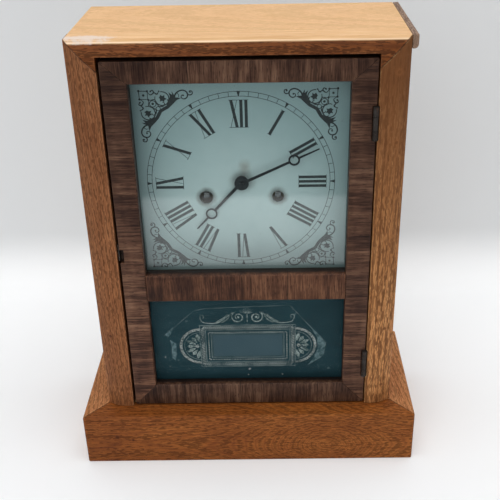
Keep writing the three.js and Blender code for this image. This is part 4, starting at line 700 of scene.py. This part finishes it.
class Print:
    """Flat printed or stencilled shapes, as thin closed sheets between two depths."""

    def __init__(self, front, back):
        self.shape = bmesh.new()
        self.front = front
        self.back = back

    def point(self, place, depth):
        return self.shape.verts.new((place[0] * MM, depth * MM, place[1] * MM))

    def area(self, outline):
        """A filled outline, anticlockwise as seen from the front."""
        turn = sum(
            a[0] * b[1] - b[0] * a[1] for a, b in zip(outline, outline[1:] + outline[:1])
        )
        if turn < 0:
            outline = outline[::-1]
        near = [self.point(p, self.front) for p in outline]
        far = [self.point(p, self.back) for p in outline]
        self.shape.faces.new(near)
        self.shape.faces.new(far[::-1])
        for i, a in enumerate(near):
            j = (i + 1) % len(near)
            self.shape.faces.new((near[j], a, far[i], far[j]))

    def line(self, path, widths):
        """A stroke along the path; widths is one number, or start, middle and end."""
        if not isinstance(widths, tuple):
            widths = (widths, widths, widths)
        left, right = [], []
        last = len(path) - 1
        for i, p in enumerate(path):
            a = path[max(0, i - 1)]
            b = path[min(last, i + 1)]
            run = math.hypot(b[0] - a[0], b[1] - a[1]) or 1.0
            stage, share = divmod(2 * i / last, 1) if i < last else (1, 1)
            start, end = widths[int(stage)], widths[int(stage) + 1]
            width = start + (end - start) * share
            off = (-(b[1] - a[1]) / run * width / 2, (b[0] - a[0]) / run * width / 2)
            left.append((p[0] + off[0], p[1] + off[1]))
            right.append((p[0] - off[0], p[1] - off[1]))
        self.band(left, right, closed=False)

    def band(self, left, right, closed):
        """The strip between two lines of points, with its edges and ends."""
        rows = [
            [self.point(p, depth) for p in side]
            for side, depth in (
                (left, self.front),
                (right, self.front),
                (right, self.back),
                (left, self.back),
            )
        ]
        count = len(left)
        steps = count if closed else count - 1
        for k in range(4):
            one, two = rows[k], rows[(k + 1) % 4]
            for i in range(steps):
                j = (i + 1) % count
                self.shape.faces.new((one[j], one[i], two[i], two[j]))
        if not closed:
            self.shape.faces.new([rows[k][0] for k in (3, 2, 1, 0)])
            self.shape.faces.new([rows[k][-1] for k in (0, 1, 2, 3)])

    def ring(self, centre, inner, outer, steps):
        self.band(circle(centre, outer, steps), circle(centre, inner, steps), closed=True)

    def disc(self, centre, radius, steps=12):
        self.area(circle(centre, radius, steps))

    def finish(self, name, material, slot, body):
        bmesh.ops.recalc_face_normals(self.shape, faces=self.shape.faces)
        return new_piece(name, self.shape, material, body)


def round_point(centre, radius, angle):
    return (centre[0] + radius * math.cos(angle), centre[1] + radius * math.sin(angle))


def circle(centre, radius, steps):
    return [round_point(centre, radius, math.tau * i / steps) for i in range(steps)]


def arc(centre, radius, begin, end, steps=12):
    """Points round a centre between two angles in degrees; radius may change from end to end."""
    first, last = radius if isinstance(radius, tuple) else (radius, radius)
    points = []
    for i in range(steps + 1):
        share = i / steps
        angle = math.radians(begin + (end - begin) * share)
        points.append(round_point(centre, first + (last - first) * share, angle))
    return points


def smooth_path(points, steps=5):
    """A curve through the points."""
    out = []
    last = len(points) - 1
    for i in range(last):
        p0, p1 = points[max(0, i - 1)], points[i]
        p2, p3 = points[i + 1], points[min(last, i + 2)]
        for k in range(steps):
            t = k / steps
            out.append(
                tuple(
                    0.5
                    * (
                        2 * p1[n]
                        + (p2[n] - p0[n]) * t
                        + (2 * p0[n] - 5 * p1[n] + 4 * p2[n] - p3[n]) * t * t
                        + (3 * p1[n] - p0[n] - 3 * p2[n] + p3[n]) * t * t * t
                    )
                    for n in (0, 1)
                )
            )
    out.append(points[last])
    return out


# ---- Dial print ----------------------------------------------------------------------------------

RING_OUTER = 63.6
RING_INNER = 60.4
RING_LINE = 0.36
MINUTE_HALVES = (0.175, 0.175)  # half widths of a mark at its foot and at its top
HOUR_HALVES = (0.2, 1.15)
NUMERAL_FOOT = 39.2
NUMERAL_TOP = 57.8
BAR = 2.0
HAIR = 0.34
GLYPH_WIDTH = {"I": 3.25, "V": 5.9, "X": 6.2}
NUMERALS = ("XII", "I", "II", "III", "IIII", "V", "VI", "VII", "VIII", "IX", "X", "XI")


def dial_print():
    return Print(DIAL_FACE - PRINT_LIFT - PRINT_THICKNESS, DIAL_FACE - PRINT_LIFT)


def clockwise(angle, across, out):
    """A point on the dial: out along the hour's radius and across it clockwise."""
    c, s = math.cos(angle), math.sin(angle)
    return (
        DIAL_CENTRE[0] + out * s + across * c,
        DIAL_CENTRE[1] + out * c - across * s,
    )


def draw_numeral(work, text, angle):
    def stroke(top, foot, width):
        half = width / 2
        work.area(
            [
                clockwise(angle, foot - half, NUMERAL_FOOT),
                clockwise(angle, foot + half, NUMERAL_FOOT),
                clockwise(angle, top + half, NUMERAL_TOP),
                clockwise(angle, top - half, NUMERAL_TOP),
            ]
        )

    def serif(left, right, out):
        work.area(
            [
                clockwise(angle, left, out - HAIR / 2),
                clockwise(angle, right, out - HAIR / 2),
                clockwise(angle, right, out + HAIR / 2),
                clockwise(angle, left, out + HAIR / 2),
            ]
        )

    at = -sum(GLYPH_WIDTH[letter] for letter in text) / 2
    for letter in text:
        width = GLYPH_WIDTH[letter]
        middle = at + width / 2
        if letter == "I":
            stroke(middle, middle, BAR)
            ends = ((middle - 1.6, middle + 1.6), (middle - 1.6, middle + 1.6))
        elif letter == "V":
            stroke(middle - 1.9, middle + 0.35, BAR)
            stroke(middle + 2.2, middle + 0.9, HAIR)
            ends = ((middle - 3.3, middle + 3.1), None)
        else:
            stroke(middle - 1.8, middle + 1.9, BAR)
            stroke(middle + 2.1, middle - 2.2, HAIR)
            ends = ((middle - 3.3, middle + 3.0), (middle - 3.2, middle + 3.3))
        serif(*ends[0], NUMERAL_TOP)
        if ends[1] is not None:
            serif(*ends[1], NUMERAL_FOOT)
        at += width


def draw_chapter_ring(work):
    for radius in (RING_OUTER, RING_INNER):
        work.ring(DIAL_CENTRE, radius - RING_LINE / 2, radius + RING_LINE / 2, 120)
    for minute in range(60):
        angle = math.radians(minute * 6)
        inner, outer = RING_INNER - RING_LINE / 2, RING_OUTER + RING_LINE / 2
        foot, top = MINUTE_HALVES if minute % 5 else HOUR_HALVES
        work.area(
            [
                clockwise(angle, -foot, inner),
                clockwise(angle, foot, inner),
                clockwise(angle, top, outer),
                clockwise(angle, -top, outer),
            ]
        )


def spandrel_lines():
    """The scrollwork of one corner, as (kind, points, size). The corner is (0, 0), the first axis
    runs along the top edge and the second down the side."""
    root = [(5.6, 0.6), (7.4, 2.6), (9.6, 1.2), (9.0, -0.4), (7.6, 0.2)]
    flower = [
        *[(12.9, 4.4), (14.2, 2.6), (15.0, 3.6), (16.6, 2.8), (16.4, 4.4), (17.9, 5.4)],
        *[(16.3, 6.2), (16.2, 7.6), (14.8, 6.6), (13.4, 7.2), (13.6, 5.6)],
    ]
    hook = [(11.2, 8.2), (12.6, 10.4), (15.2, 10.2), (16.2, 8.4), (14.8, 7.4)]
    leaf = [
        *[(14.2, 14.2), (12.7, 12.7), (15.2, 11.0), (17.6, 9.8), (18.6, 7.4), (17.8, 5.4)],
        *[(19.6, 6.2), (20.0, 3.6), (19.2, 0.9), (21.4, 2.8), (21.3, 0.2), (22.8, 2.9)],
        *[(24.2, 1.2), (23.4, 4.4), (27.2, 4.9), (24.0, 6.5), (21.6, 9.0), (18.6, 11.8)],
    ]
    scroll = [
        *[(22.8, 4.6), (23.6, 2.4), (25.8, 0.4), (28.8, -0.2), (31.2, 1.4)],
        *[(31.2, 4.2), (29.2, 5.6), (27.4, 4.8), (27.6, 3.2), (28.8, 3.3)],
    ]
    curl = [(31.0, 1.8), (32.6, 3.0), (34.4, 2.4), (34.4, 0.6), (33.0, 0.2), (32.6, 1.2)]
    stem = [(5.8, 5.6), (7.2, 6.2), (9.6, 5.8), (11.0, 7.4), (10.6, 9.4)]
    wing = [
        ("line", smooth_path(root), (0.3, 0.9, 0.5)),
        ("line", smooth_path([(9.2, 0.2), (11.6, 2.2), (13.0, 0.4)]), (0.4, 1.0, 0.3)),
        ("line", arc((14.8, 5.2), 4.6, 200, -100, 18), (0.5, 0.85, 0.6)),
        ("area", flower, 0),
        ("line", smooth_path(hook), (0.5, 0.8, 0.4)),
        ("area", leaf, 0),
        ("line", smooth_path(scroll), (1.0, 0.85, 0.5)),
        ("line", smooth_path(curl), (0.8, 0.7, 0.5)),
        ("line", smooth_path([(24.6, 1.3), (25.8, 3.0), (25.4, 4.4)]), (0.3, 0.5, 0.3)),
        ("disc", [(33.2, 1.1)], 0.55),
        ("disc", [(28.7, 3.2)], 0.6),
        ("disc", [(7.7, 0.3)], 0.6),
        ("disc", [(13.1, 0.3)], 0.55),
        ("line", [(0.0, 0.0), (5.4, 0.2)], 0.5),
        ("line", [(0.6, 5.6), (5.8, 5.6)], 0.4),
        ("disc", [(5.5, 0.2)], 0.75),
        ("line", smooth_path(stem), (0.4, 0.6, 0.4)),
    ]
    middle = [
        ("disc", [(0.0, 0.0)], 0.8),
        ("disc", [(2.9, 2.9)], 0.8),
        ("ring", [(8.6, 8.6)], 2.1),
        ("disc", [(8.6, 8.6)], 0.85),
        ("ring", [(11.9, 11.9)], 1.4),
        ("disc", [(5.9, 5.9)], 0.7),
    ]
    mirrored = [(kind, [p[::-1] for p in points], size) for kind, points, size in wing]
    return wing + mirrored + middle


SPANDREL_CORNER = (64.2, 64.6)


def draw_spandrels(work):
    for side_x in (-1, 1):
        for side_z in (-1, 1):

            def place(p):
                return (
                    DIAL_CENTRE[0] + side_x * (SPANDREL_CORNER[0] - p[0]),
                    DIAL_CENTRE[1] + side_z * (SPANDREL_CORNER[1] - p[1]),
                )

            for kind, points, size in spandrel_lines():
                placed = [place(p) for p in points]
                if kind == "disc":
                    work.disc(placed[0], size, 10)
                elif kind == "ring":
                    work.ring(placed[0], size - 0.25, size + 0.25, 16)
                elif kind == "line":
                    work.line(placed, size)
                else:
                    work.area(placed)


def print_dial(black):
    ring = dial_print()
    draw_chapter_ring(ring)
    ring.finish("chapter_ring", black, "dial_paint", "case")
    numerals = dial_print()
    for hour, text in enumerate(NUMERALS):
        draw_numeral(numerals, text, math.radians(hour * 30))
    numerals.finish("numerals", black, "dial_paint", "case")
    corners = dial_print()
    draw_spandrels(corners)
    corners.finish("spandrels", black, "dial_paint", "case")


# ---- Tablet --------------------------------------------------------------------------------------

WINDOW = (-25.0, 25.4, 79.9, 98.6)
LABEL = (-34.6, 35.3, 70.4, 107.2)
LABEL_MIDDLE = (0.3, 88.9)
STENCIL = (GLASS_BACK + 0.005, GLASS_BACK + 0.03)
GROUND = (GLASS_BACK + 0.035, GLASS_BACK + 0.07)


def box_outline(left, right, low, high):
    return [(left, low), (right, low), (right, high), (left, high)]


def draw_frame(work, outer, inner):
    work.band(box_outline(*outer), box_outline(*inner), closed=True)


def grown(rect, by):
    return (rect[0] - by, rect[1] + by, rect[2] - by, rect[3] + by)


def round_rectangle(rect, pitch):
    """Evenly spaced places on the four sides, each with its side's run: (1, 0) or (0, 1)."""
    left, right, low, high = rect
    across, up = round((right - left) / pitch), round((high - low) / pitch)
    for z in (low, high):
        for i in range(across):
            yield left + (i + 0.5) * (right - left) / across, z, (1, 0)
    for x in (left, right):
        for i in range(up):
            yield x, low + (i + 0.5) * (high - low) / up, (0, 1)


def draw_rope(work, rect, width, pitch):
    """Slanted strands round a rectangle, as a rope border."""
    half = width / 2
    for x, z, (flat, upright) in round_rectangle(rect, pitch):
        end_x = 0.75 * flat + half * upright
        end_z = half * flat + 0.75 * upright
        belly = (x + 0.1 * flat, z + 0.1 * upright)
        work.line([(x - end_x, z - end_z), belly, (x + end_x, z + end_z)], (0.35, 0.75, 0.35))


def draw_dashes(work, rect, pitch, length, width):
    for x, z, (flat, upright) in round_rectangle(rect, pitch):
        half_x = (length * flat + width * upright) / 2
        half_z = (width * flat + length * upright) / 2
        work.area(box_outline(x - half_x, x + half_x, z - half_z, z + half_z))


def draw_fan(work, side):
    """The half-round end: an outer ring, an inner line and a fan of petals."""
    edge = LABEL[0] if side < 0 else LABEL[1]
    middle = (edge - side * 0.4, LABEL_MIDDLE[1])
    begin, end = (90, 270) if side < 0 else (-90, 90)
    work["pale"].line(arc(middle, 14.6, begin, end, 26), 2.0)
    work["dull"].line(arc(middle, 12.0, begin, end, 24), 0.45)
    work["pale"].disc((middle[0] + side * 2.6, middle[1]), 1.5, 12)
    for i in range(7):
        angle = math.radians(begin + 14 + (end - begin - 28) * i / 6)
        reach = 10.6 if i % 2 == 0 else 9.2
        petal = [round_point(middle, out, angle) for out in (4.2, 8.2, reach)]
        work["petal"].line(petal, (0.6, 3.1, 1.2))
        work["dull"].disc(petal[-1], 0.7, 8)


CREST_FOOT = 108.2
CREST_CURL = [(32.2, 4.6), (31.2, 6.6), (33.2, 7.4), (34.0, 5.2), (32.4, 1.8), (28.4, 0.6)]
CREST_STEMS = (
    (CREST_CURL, (0.4, 0.6, 0.7)),
    ([(28.4, 0.6), (23.6, 0.5), (18.6, 2.6), (14.4, 6.4), (10.0, 9.6)], (0.6, 1.2, 0.7)),
    ([(22.4, 1.8), (17.6, 4.6), (13.8, 8.4)], (0.4, 0.9, 0.3)),
    ([(18.8, 0.8), (14.6, 3.6), (12.6, 6.8)], (0.3, 1.0, 0.4)),
)


def draw_crest(work):
    """Two scrolls on either side of a palmette, with curled ends."""
    for side in (-1, 1):

        def place(p):
            return (LABEL_MIDDLE[0] + side * p[0], CREST_FOOT + p[1])

        for points, widths in CREST_STEMS:
            work.line([place(p) for p in smooth_path(points)], widths)
        work.line([place(p) for p in arc((6.6, 5.6), (4.9, 1.5), 60, -420, 30)], (0.9, 0.9, 0.6))
        work.disc(place((6.5, 5.6)), 1.0, 10)
        for i in range(4):
            lean = math.radians(14 + i * 24)
            tip = (math.sin(lean) * 4.0, 9.3 + math.cos(lean) * 3.9)
            work.line([place((0.3, 8.8)), place(tip)], (0.3, 0.95, 0.3))
    centre = LABEL_MIDDLE[0]
    work.line([(centre, CREST_FOOT + 1.4), (centre, CREST_FOOT + 8)], (0.5, 1.3, 0.5))


SCRIBED = [
    *[(-59.6, 99.6), (-52.0, 106.4), (-38.0, 119.6), (-30.0, 121.4), (31.0, 123.4)],
    *[(41.0, 111.0), (57.6, 90.6), (55.6, 79.0), (43.6, 70.4)],
]
WORN_PATCHES = (
    [(-60.0, 99.4), (-53.6, 106.0), (-54.6, 102.0), (-57.4, 96.6)],
    [(-56.6, 94.8), (-52.0, 91.2), (-52.6, 82.0), (-53.6, 76.4), (-56.4, 79.6), (-55.6, 88.0)],
    [
        *[(41.4, 110.2), (47.0, 104.0), (53.6, 96.6), (57.4, 90.4), (56.2, 80.2), (52.4, 76.6)],
        *[(44.2, 70.8), (48.8, 77.6), (51.6, 86.0), (51.0, 95.0), (47.0, 103.0)],
    ],
)
PALE_SPOTS = (  # chips in the ground: the centre and the radius
    ((1.2, 68.0), 1.0),
    ((0.0, 62.9), 0.5),
    ((25.4, 62.9), 0.6),
    ((-61.0, 79.6), 0.6),
    ((-58.0, 71.0), 0.5),
)


def draw_outline(work):
    """The thin scribed line round the label, open at its lower left."""
    for a, b in zip(SCRIBED, SCRIBED[1:]):
        steps = [(a[0] + (b[0] - a[0]) * i / 8, a[1] + (b[1] - a[1]) * i / 8) for i in range(9)]
        work.line(steps, (0.16, 0.3, 0.14))


def build_tablet():
    ground = Print(*GROUND)
    draw_frame(ground, grown(TABLET_SIGHT, 3.4), WINDOW)
    ground.finish("tablet_ground", tablet_ground(), "painted_glass", "door")
    # Painted shade: an opaque dark sheet fills the clear light, standing for the shaded inside of
    # the case.
    shade_sheet = Print(*GROUND)
    shade_sheet.area(box_outline(*WINDOW))
    shade_sheet.finish("tablet_window_shade_sheet", window_shade_sheet(), "painted_glass", "door")

    pale = Print(*STENCIL)
    dull = Print(*STENCIL)
    petal = Print(*STENCIL)
    draw_frame(dull, LABEL, grown(LABEL, -0.5))
    draw_frame(dull, grown(LABEL, -4.0), grown(LABEL, -4.5))
    draw_rope(pale, grown(LABEL, -2.2), 2.8, 1.5)
    draw_dashes(pale, grown(LABEL, -6.4), 2.0, 1.15, 0.75)
    draw_frame(dull, grown(WINDOW, 1.6), grown(WINDOW, 1.15))
    draw_dashes(dull, grown(WINDOW, 0.55), 1.2, 0.45, 0.45)
    for side in (-1, 1):
        draw_fan({"pale": pale, "dull": dull, "petal": petal}, side)
    draw_crest(petal)
    draw_outline(dull)
    for place, size in PALE_SPOTS:
        pale.disc(place, size, 8)
    worn = Print(*STENCIL)
    for patch in WORN_PATCHES:
        worn.area(patch)
    for name, work, powder in (
        ("tablet_rope", pale, ("rope_powder", (0.5, 0.47, 0.45), (0.05, 0.07, 0.072))),
        ("tablet_lines", dull, ("line_powder", (0.3, 0.32, 0.32), (0.035, 0.065, 0.072))),
        ("tablet_scrolls", petal, ("scroll_powder", (0.42, 0.44, 0.42), (0.05, 0.08, 0.082))),
        ("tablet_scuffs", worn, ("scuffed_ground", (0.19, 0.25, 0.27), (0.03, 0.07, 0.082), 420.0)),
    ):
        work.finish(name, bronze_powder(*powder), "painted_glass", "door")
    assign(window_pane("tablet_glass", (0.93, 0.965, 0.96), 0.05), "glass_tablet")


# ---- Floor, backdrop and light -------------------------------------------------------------------

SWEEP_HALF = 2.6
SWEEP_FRONT = -2.4
SWEEP_BACK = 0.235
SWEEP_RISE = 1.9
SWEEP_RADIUS = 0.05
TABLE_FRONT = -0.492
LIT = (0, 0, 0.15)  # the point that the lamps face
ROOM_GLOW = 0.42


def sweep_finish():
    """Pale paper, clear from its outer side, greyed with painted shade where it rises. Mirrors see
    the room beyond the table as darker: a painted reflection.
    """
    f = Finish("sweep_paper")
    _, y, z = f.split(f.here())
    tone = f.noise(f.here(), 3.0, 2.0)
    paper = f.blend(tone, (0.93, 0.935, 0.94), (0.96, 0.96, 0.96))
    # Painted shade: the paper greys where it rises from the floor, and more towards its top.
    paper = f.blend(f.between(z, 0.004, 0.05), paper, (0.77, 0.78, 0.785))
    paper = f.blend(f.between(z, 0.1, 0.9), paper, (0.6, 0.6, 0.61))
    # Painted reflection: beyond the table's front edge, mirror rays alone see the paper as a dark
    # room.
    past = 1 - f.between(y, TABLE_FRONT - 0.012, TABLE_FRONT + 0.012)
    mirror_ray = f.node("ShaderNodeLightPath", None, None, "Is Glossy Ray")
    colour = f.blend(past * mirror_ray, paper, (0.1, 0.105, 0.11))
    outside = f.node("ShaderNodeNewGeometry", None, None, "Backfacing")
    return f.surface(
        Base_Color=colour, Roughness=0.85, Specular_IOR_Level=0.2, Alpha=1 - outside
    )


def build_sweep():
    bend = (SWEEP_BACK - SWEEP_RADIUS, SWEEP_RADIUS)
    profile = [(SWEEP_FRONT, 0.0), (TABLE_FRONT, 0.0), *arc(bend, SWEEP_RADIUS, -90, 0, 8)]
    profile.append((SWEEP_BACK, SWEEP_RISE))
    shape = bmesh.new()
    rows = [
        [shape.verts.new((x, y, z)) for x in (-SWEEP_HALF, SWEEP_HALF)] for y, z in profile
    ]
    for a, b in zip(rows, rows[1:]):
        face = shape.faces.new((a[0], a[1], b[1], b[0]))
        face.smooth = True
    mesh = bpy.data.meshes.new("sweep")
    shape.to_mesh(mesh)
    shape.free()
    mesh.materials.append(sweep_finish())
    shown("sweep", mesh)


def area_lamp(name, place, target, size, power):
    data = bpy.data.lights.new(name, "AREA")
    data.shape = "RECTANGLE"
    data.size, data.size_y = size
    data.energy = power
    lamp = shown(name, data)
    aim = (Vector(target) - Vector(place)).normalized().to_track_quat("-Z", "Y")
    lamp.matrix_world = Matrix.Translation(place) @ aim.to_matrix().to_4x4()


def light_scene():
    area_lamp("overhead", (0.1, -0.1, 1.7), LIT, (1.5, 1.5), 21.5)
    area_lamp("front_fill", (-0.5, -1.6, 1.1), LIT, (1.2, 1.0), 7.5)
    world = bpy.data.worlds.new("room")
    world.use_nodes = True
    tree = world.node_tree
    tree.nodes.clear()
    glow = tree.nodes.new("ShaderNodeBackground")
    glow.inputs["Color"].default_value = (0.93, 0.97, 1.0, 1)
    glow.inputs["Strength"].default_value = ROOM_GLOW
    output = tree.nodes.new("ShaderNodeOutputWorld")
    tree.links.new(glow.outputs[0], output.inputs["Surface"])
    bpy.context.scene.world = world


# ---- The clock -----------------------------------------------------------------------------------


def dress_case():
    base_front = oak(
        "oak_base_front",
        X,
        (-0.052, 0.014),
        (0.0, 0.0),
        BASE_TONE,
        ring=0.0021,
        wander=0.008,
        bow=(0.054, 0.05, 0.032),
        marks=KNOTS,
        mitre=BASE_MITRE,
    )
    slopes = oak("oak_base_sides", Y, (0.3, 0.08), (0.1, 0.2), SLOPE_TONE, mitre=BASE_MITRE)
    left_side = oak("oak_side_left", Z, (-0.16, 0.05), (0.06, 0.05), STILE_TONE)
    right_side = oak("oak_side_right", Z, (0.16, 0.04), (-0.05, 0.05), GOLD_TONE)
    top_grain = {"ring": 0.0045, "even": 0.35, "scuff": TOP_SCUFF}
    top = oak("oak_top", X, (0.03, 0.45), (0.02, 0.06), TOP_TONE, **top_grain)
    strip = oak("oak_cornice", Y, (0.16, 0.3), (0.02, 0.05), STRIP_TONE)
    rail = oak(
        "oak_frame_top",
        X,
        (-0.1, 0.36),
        (0.0, 0.03),
        RAIL_TONE,
        wander=0.012,
        crown=(0.313, 0.3142),
        mitre=FRAME_MITRE,
        scuff=TOP_SCUFF,
    )
    stile_left = oak(
        "oak_frame_left",
        Z,
        (-0.2, -0.05),
        (0.05, 0.03),
        STILE_TONE,
        marks=LEFT_MARKS,
        painted_shade=0.3,
        mitre=FRAME_MITRE,
    )
    stile_right = oak(
        "oak_frame_right",
        Z,
        (0.2, -0.06),
        (-0.07, 0.04),
        GOLD_TONE,
        dash=0.75,
        marks=RIGHT_MARKS,
        painted_shade=0.95,
        mitre=FRAME_MITRE,
    )
    for node, finish, width in (
        ("base_front", base_front, 0.0007),
        ("base_left", slopes, 0.0007),
        ("base_right", slopes, 0.0007),
        ("side_left", left_side, EASED),
        ("side_right", right_side, EASED),
        ("top_board", top, 0.0006),
        ("cornice_strip", strip, 0.0005),
        ("frame_left", stile_left, EASED),
        ("frame_right", stile_right, EASED),
        ("frame_top", rail, EASED),
    ):
        dressed(node, width, finish, "case")
    upright, across = pine("pine_upright", Z), pine("pine_across", X)
    for node, finish in (
        ("back_board", upright),
        ("floor_board", across),
        ("batten_left", upright),
        ("batten_right", upright),
        ("movement_block_lower", across),
        ("movement_block_upper", across),
    ):
        dressed(node, EASED, finish, "case")


def dress_door():
    stile_left = cross_banding("banding_left", X, (0.1195, 0.1885), light=1.0, painted_shade=0.62)
    stile_right = cross_banding("banding_right", X, (0.104, 0.232), light=0.78, painted_shade=0.45)
    rail_top = cross_banding("banding_top", Z, (-0.031, 0.047))
    rail_bottom = cross_banding("banding_bottom", Z, (-0.0467, -0.0057, 0.0353))
    rail_middle = cross_banding("banding_middle", Z, (0.0295,), warm=0.8, light=0.55)
    for node, finish in (
        ("door_stile_left", stile_left),
        ("door_stile_right", stile_right),
        ("door_rail_top", rail_top),
        ("door_rail_middle", rail_middle),
        ("door_rail_bottom", rail_bottom),
    ):
        dressed(node, EASED, finish, "door")
    putty = putty_finish()
    slope_putty("putty_dial", putty)
    slope_putty("putty_tablet", putty)


def dress_metal():
    brass = metal("aged_brass", (0.62, 0.44, 0.16), (0.3, 0.19, 0.07), 0.3)
    steel = metal("old_steel", (0.3, 0.3, 0.3), (0.13, 0.125, 0.12), 0.36, spots=0.3)
    black = metal("blackened_steel", (0.02, 0.025, 0.028), (0.008, 0.01, 0.011), 0.36, 0.6)
    iron = metal("dark_iron", (0.06, 0.052, 0.046), (0.03, 0.022, 0.018), 0.5, 0.7, spots=0.5)
    for hand in ("minute_hand", "hour_hand"):
        dressed(hand, THIN_EASED, black, hand)
    for node, body in (
        ("hinge_leaf_case_lower", "case"),
        ("hinge_leaf_case_upper", "case"),
        ("hinge_leaf_door_lower", "door"),
        ("hinge_leaf_door_upper", "door"),
    ):
        dressed(node, THIN_EASED, iron, body, flat=40)
    dressed("latch_hook", THIN_EASED, iron, "latch")
    finishes = {"brass": brass, "steel": steel, "iron": iron, "black_steel": black}
    for part in frame["record"]["subparts"]:
        node = part["node"]
        finish = finishes.get(part["material_slot"])
        if finish is not None and not NODES[node].hide_render:
            assign(finish, node)
    assign(black, "centre_arbor")
    assign(iron, "latch_screw", "latch_pin")


place_camera()
dress_case()
dress_door()
dress_metal()
assign(window_pane("dial_glass", (0.94, 0.97, 0.965), 1.5), "glass_dial")
assign(dial_paint(), "dial")
print_dial(print_black())
build_tablet()
build_sweep()
light_scene()

bpy.context.scene.view_settings.view_transform = "Standard"
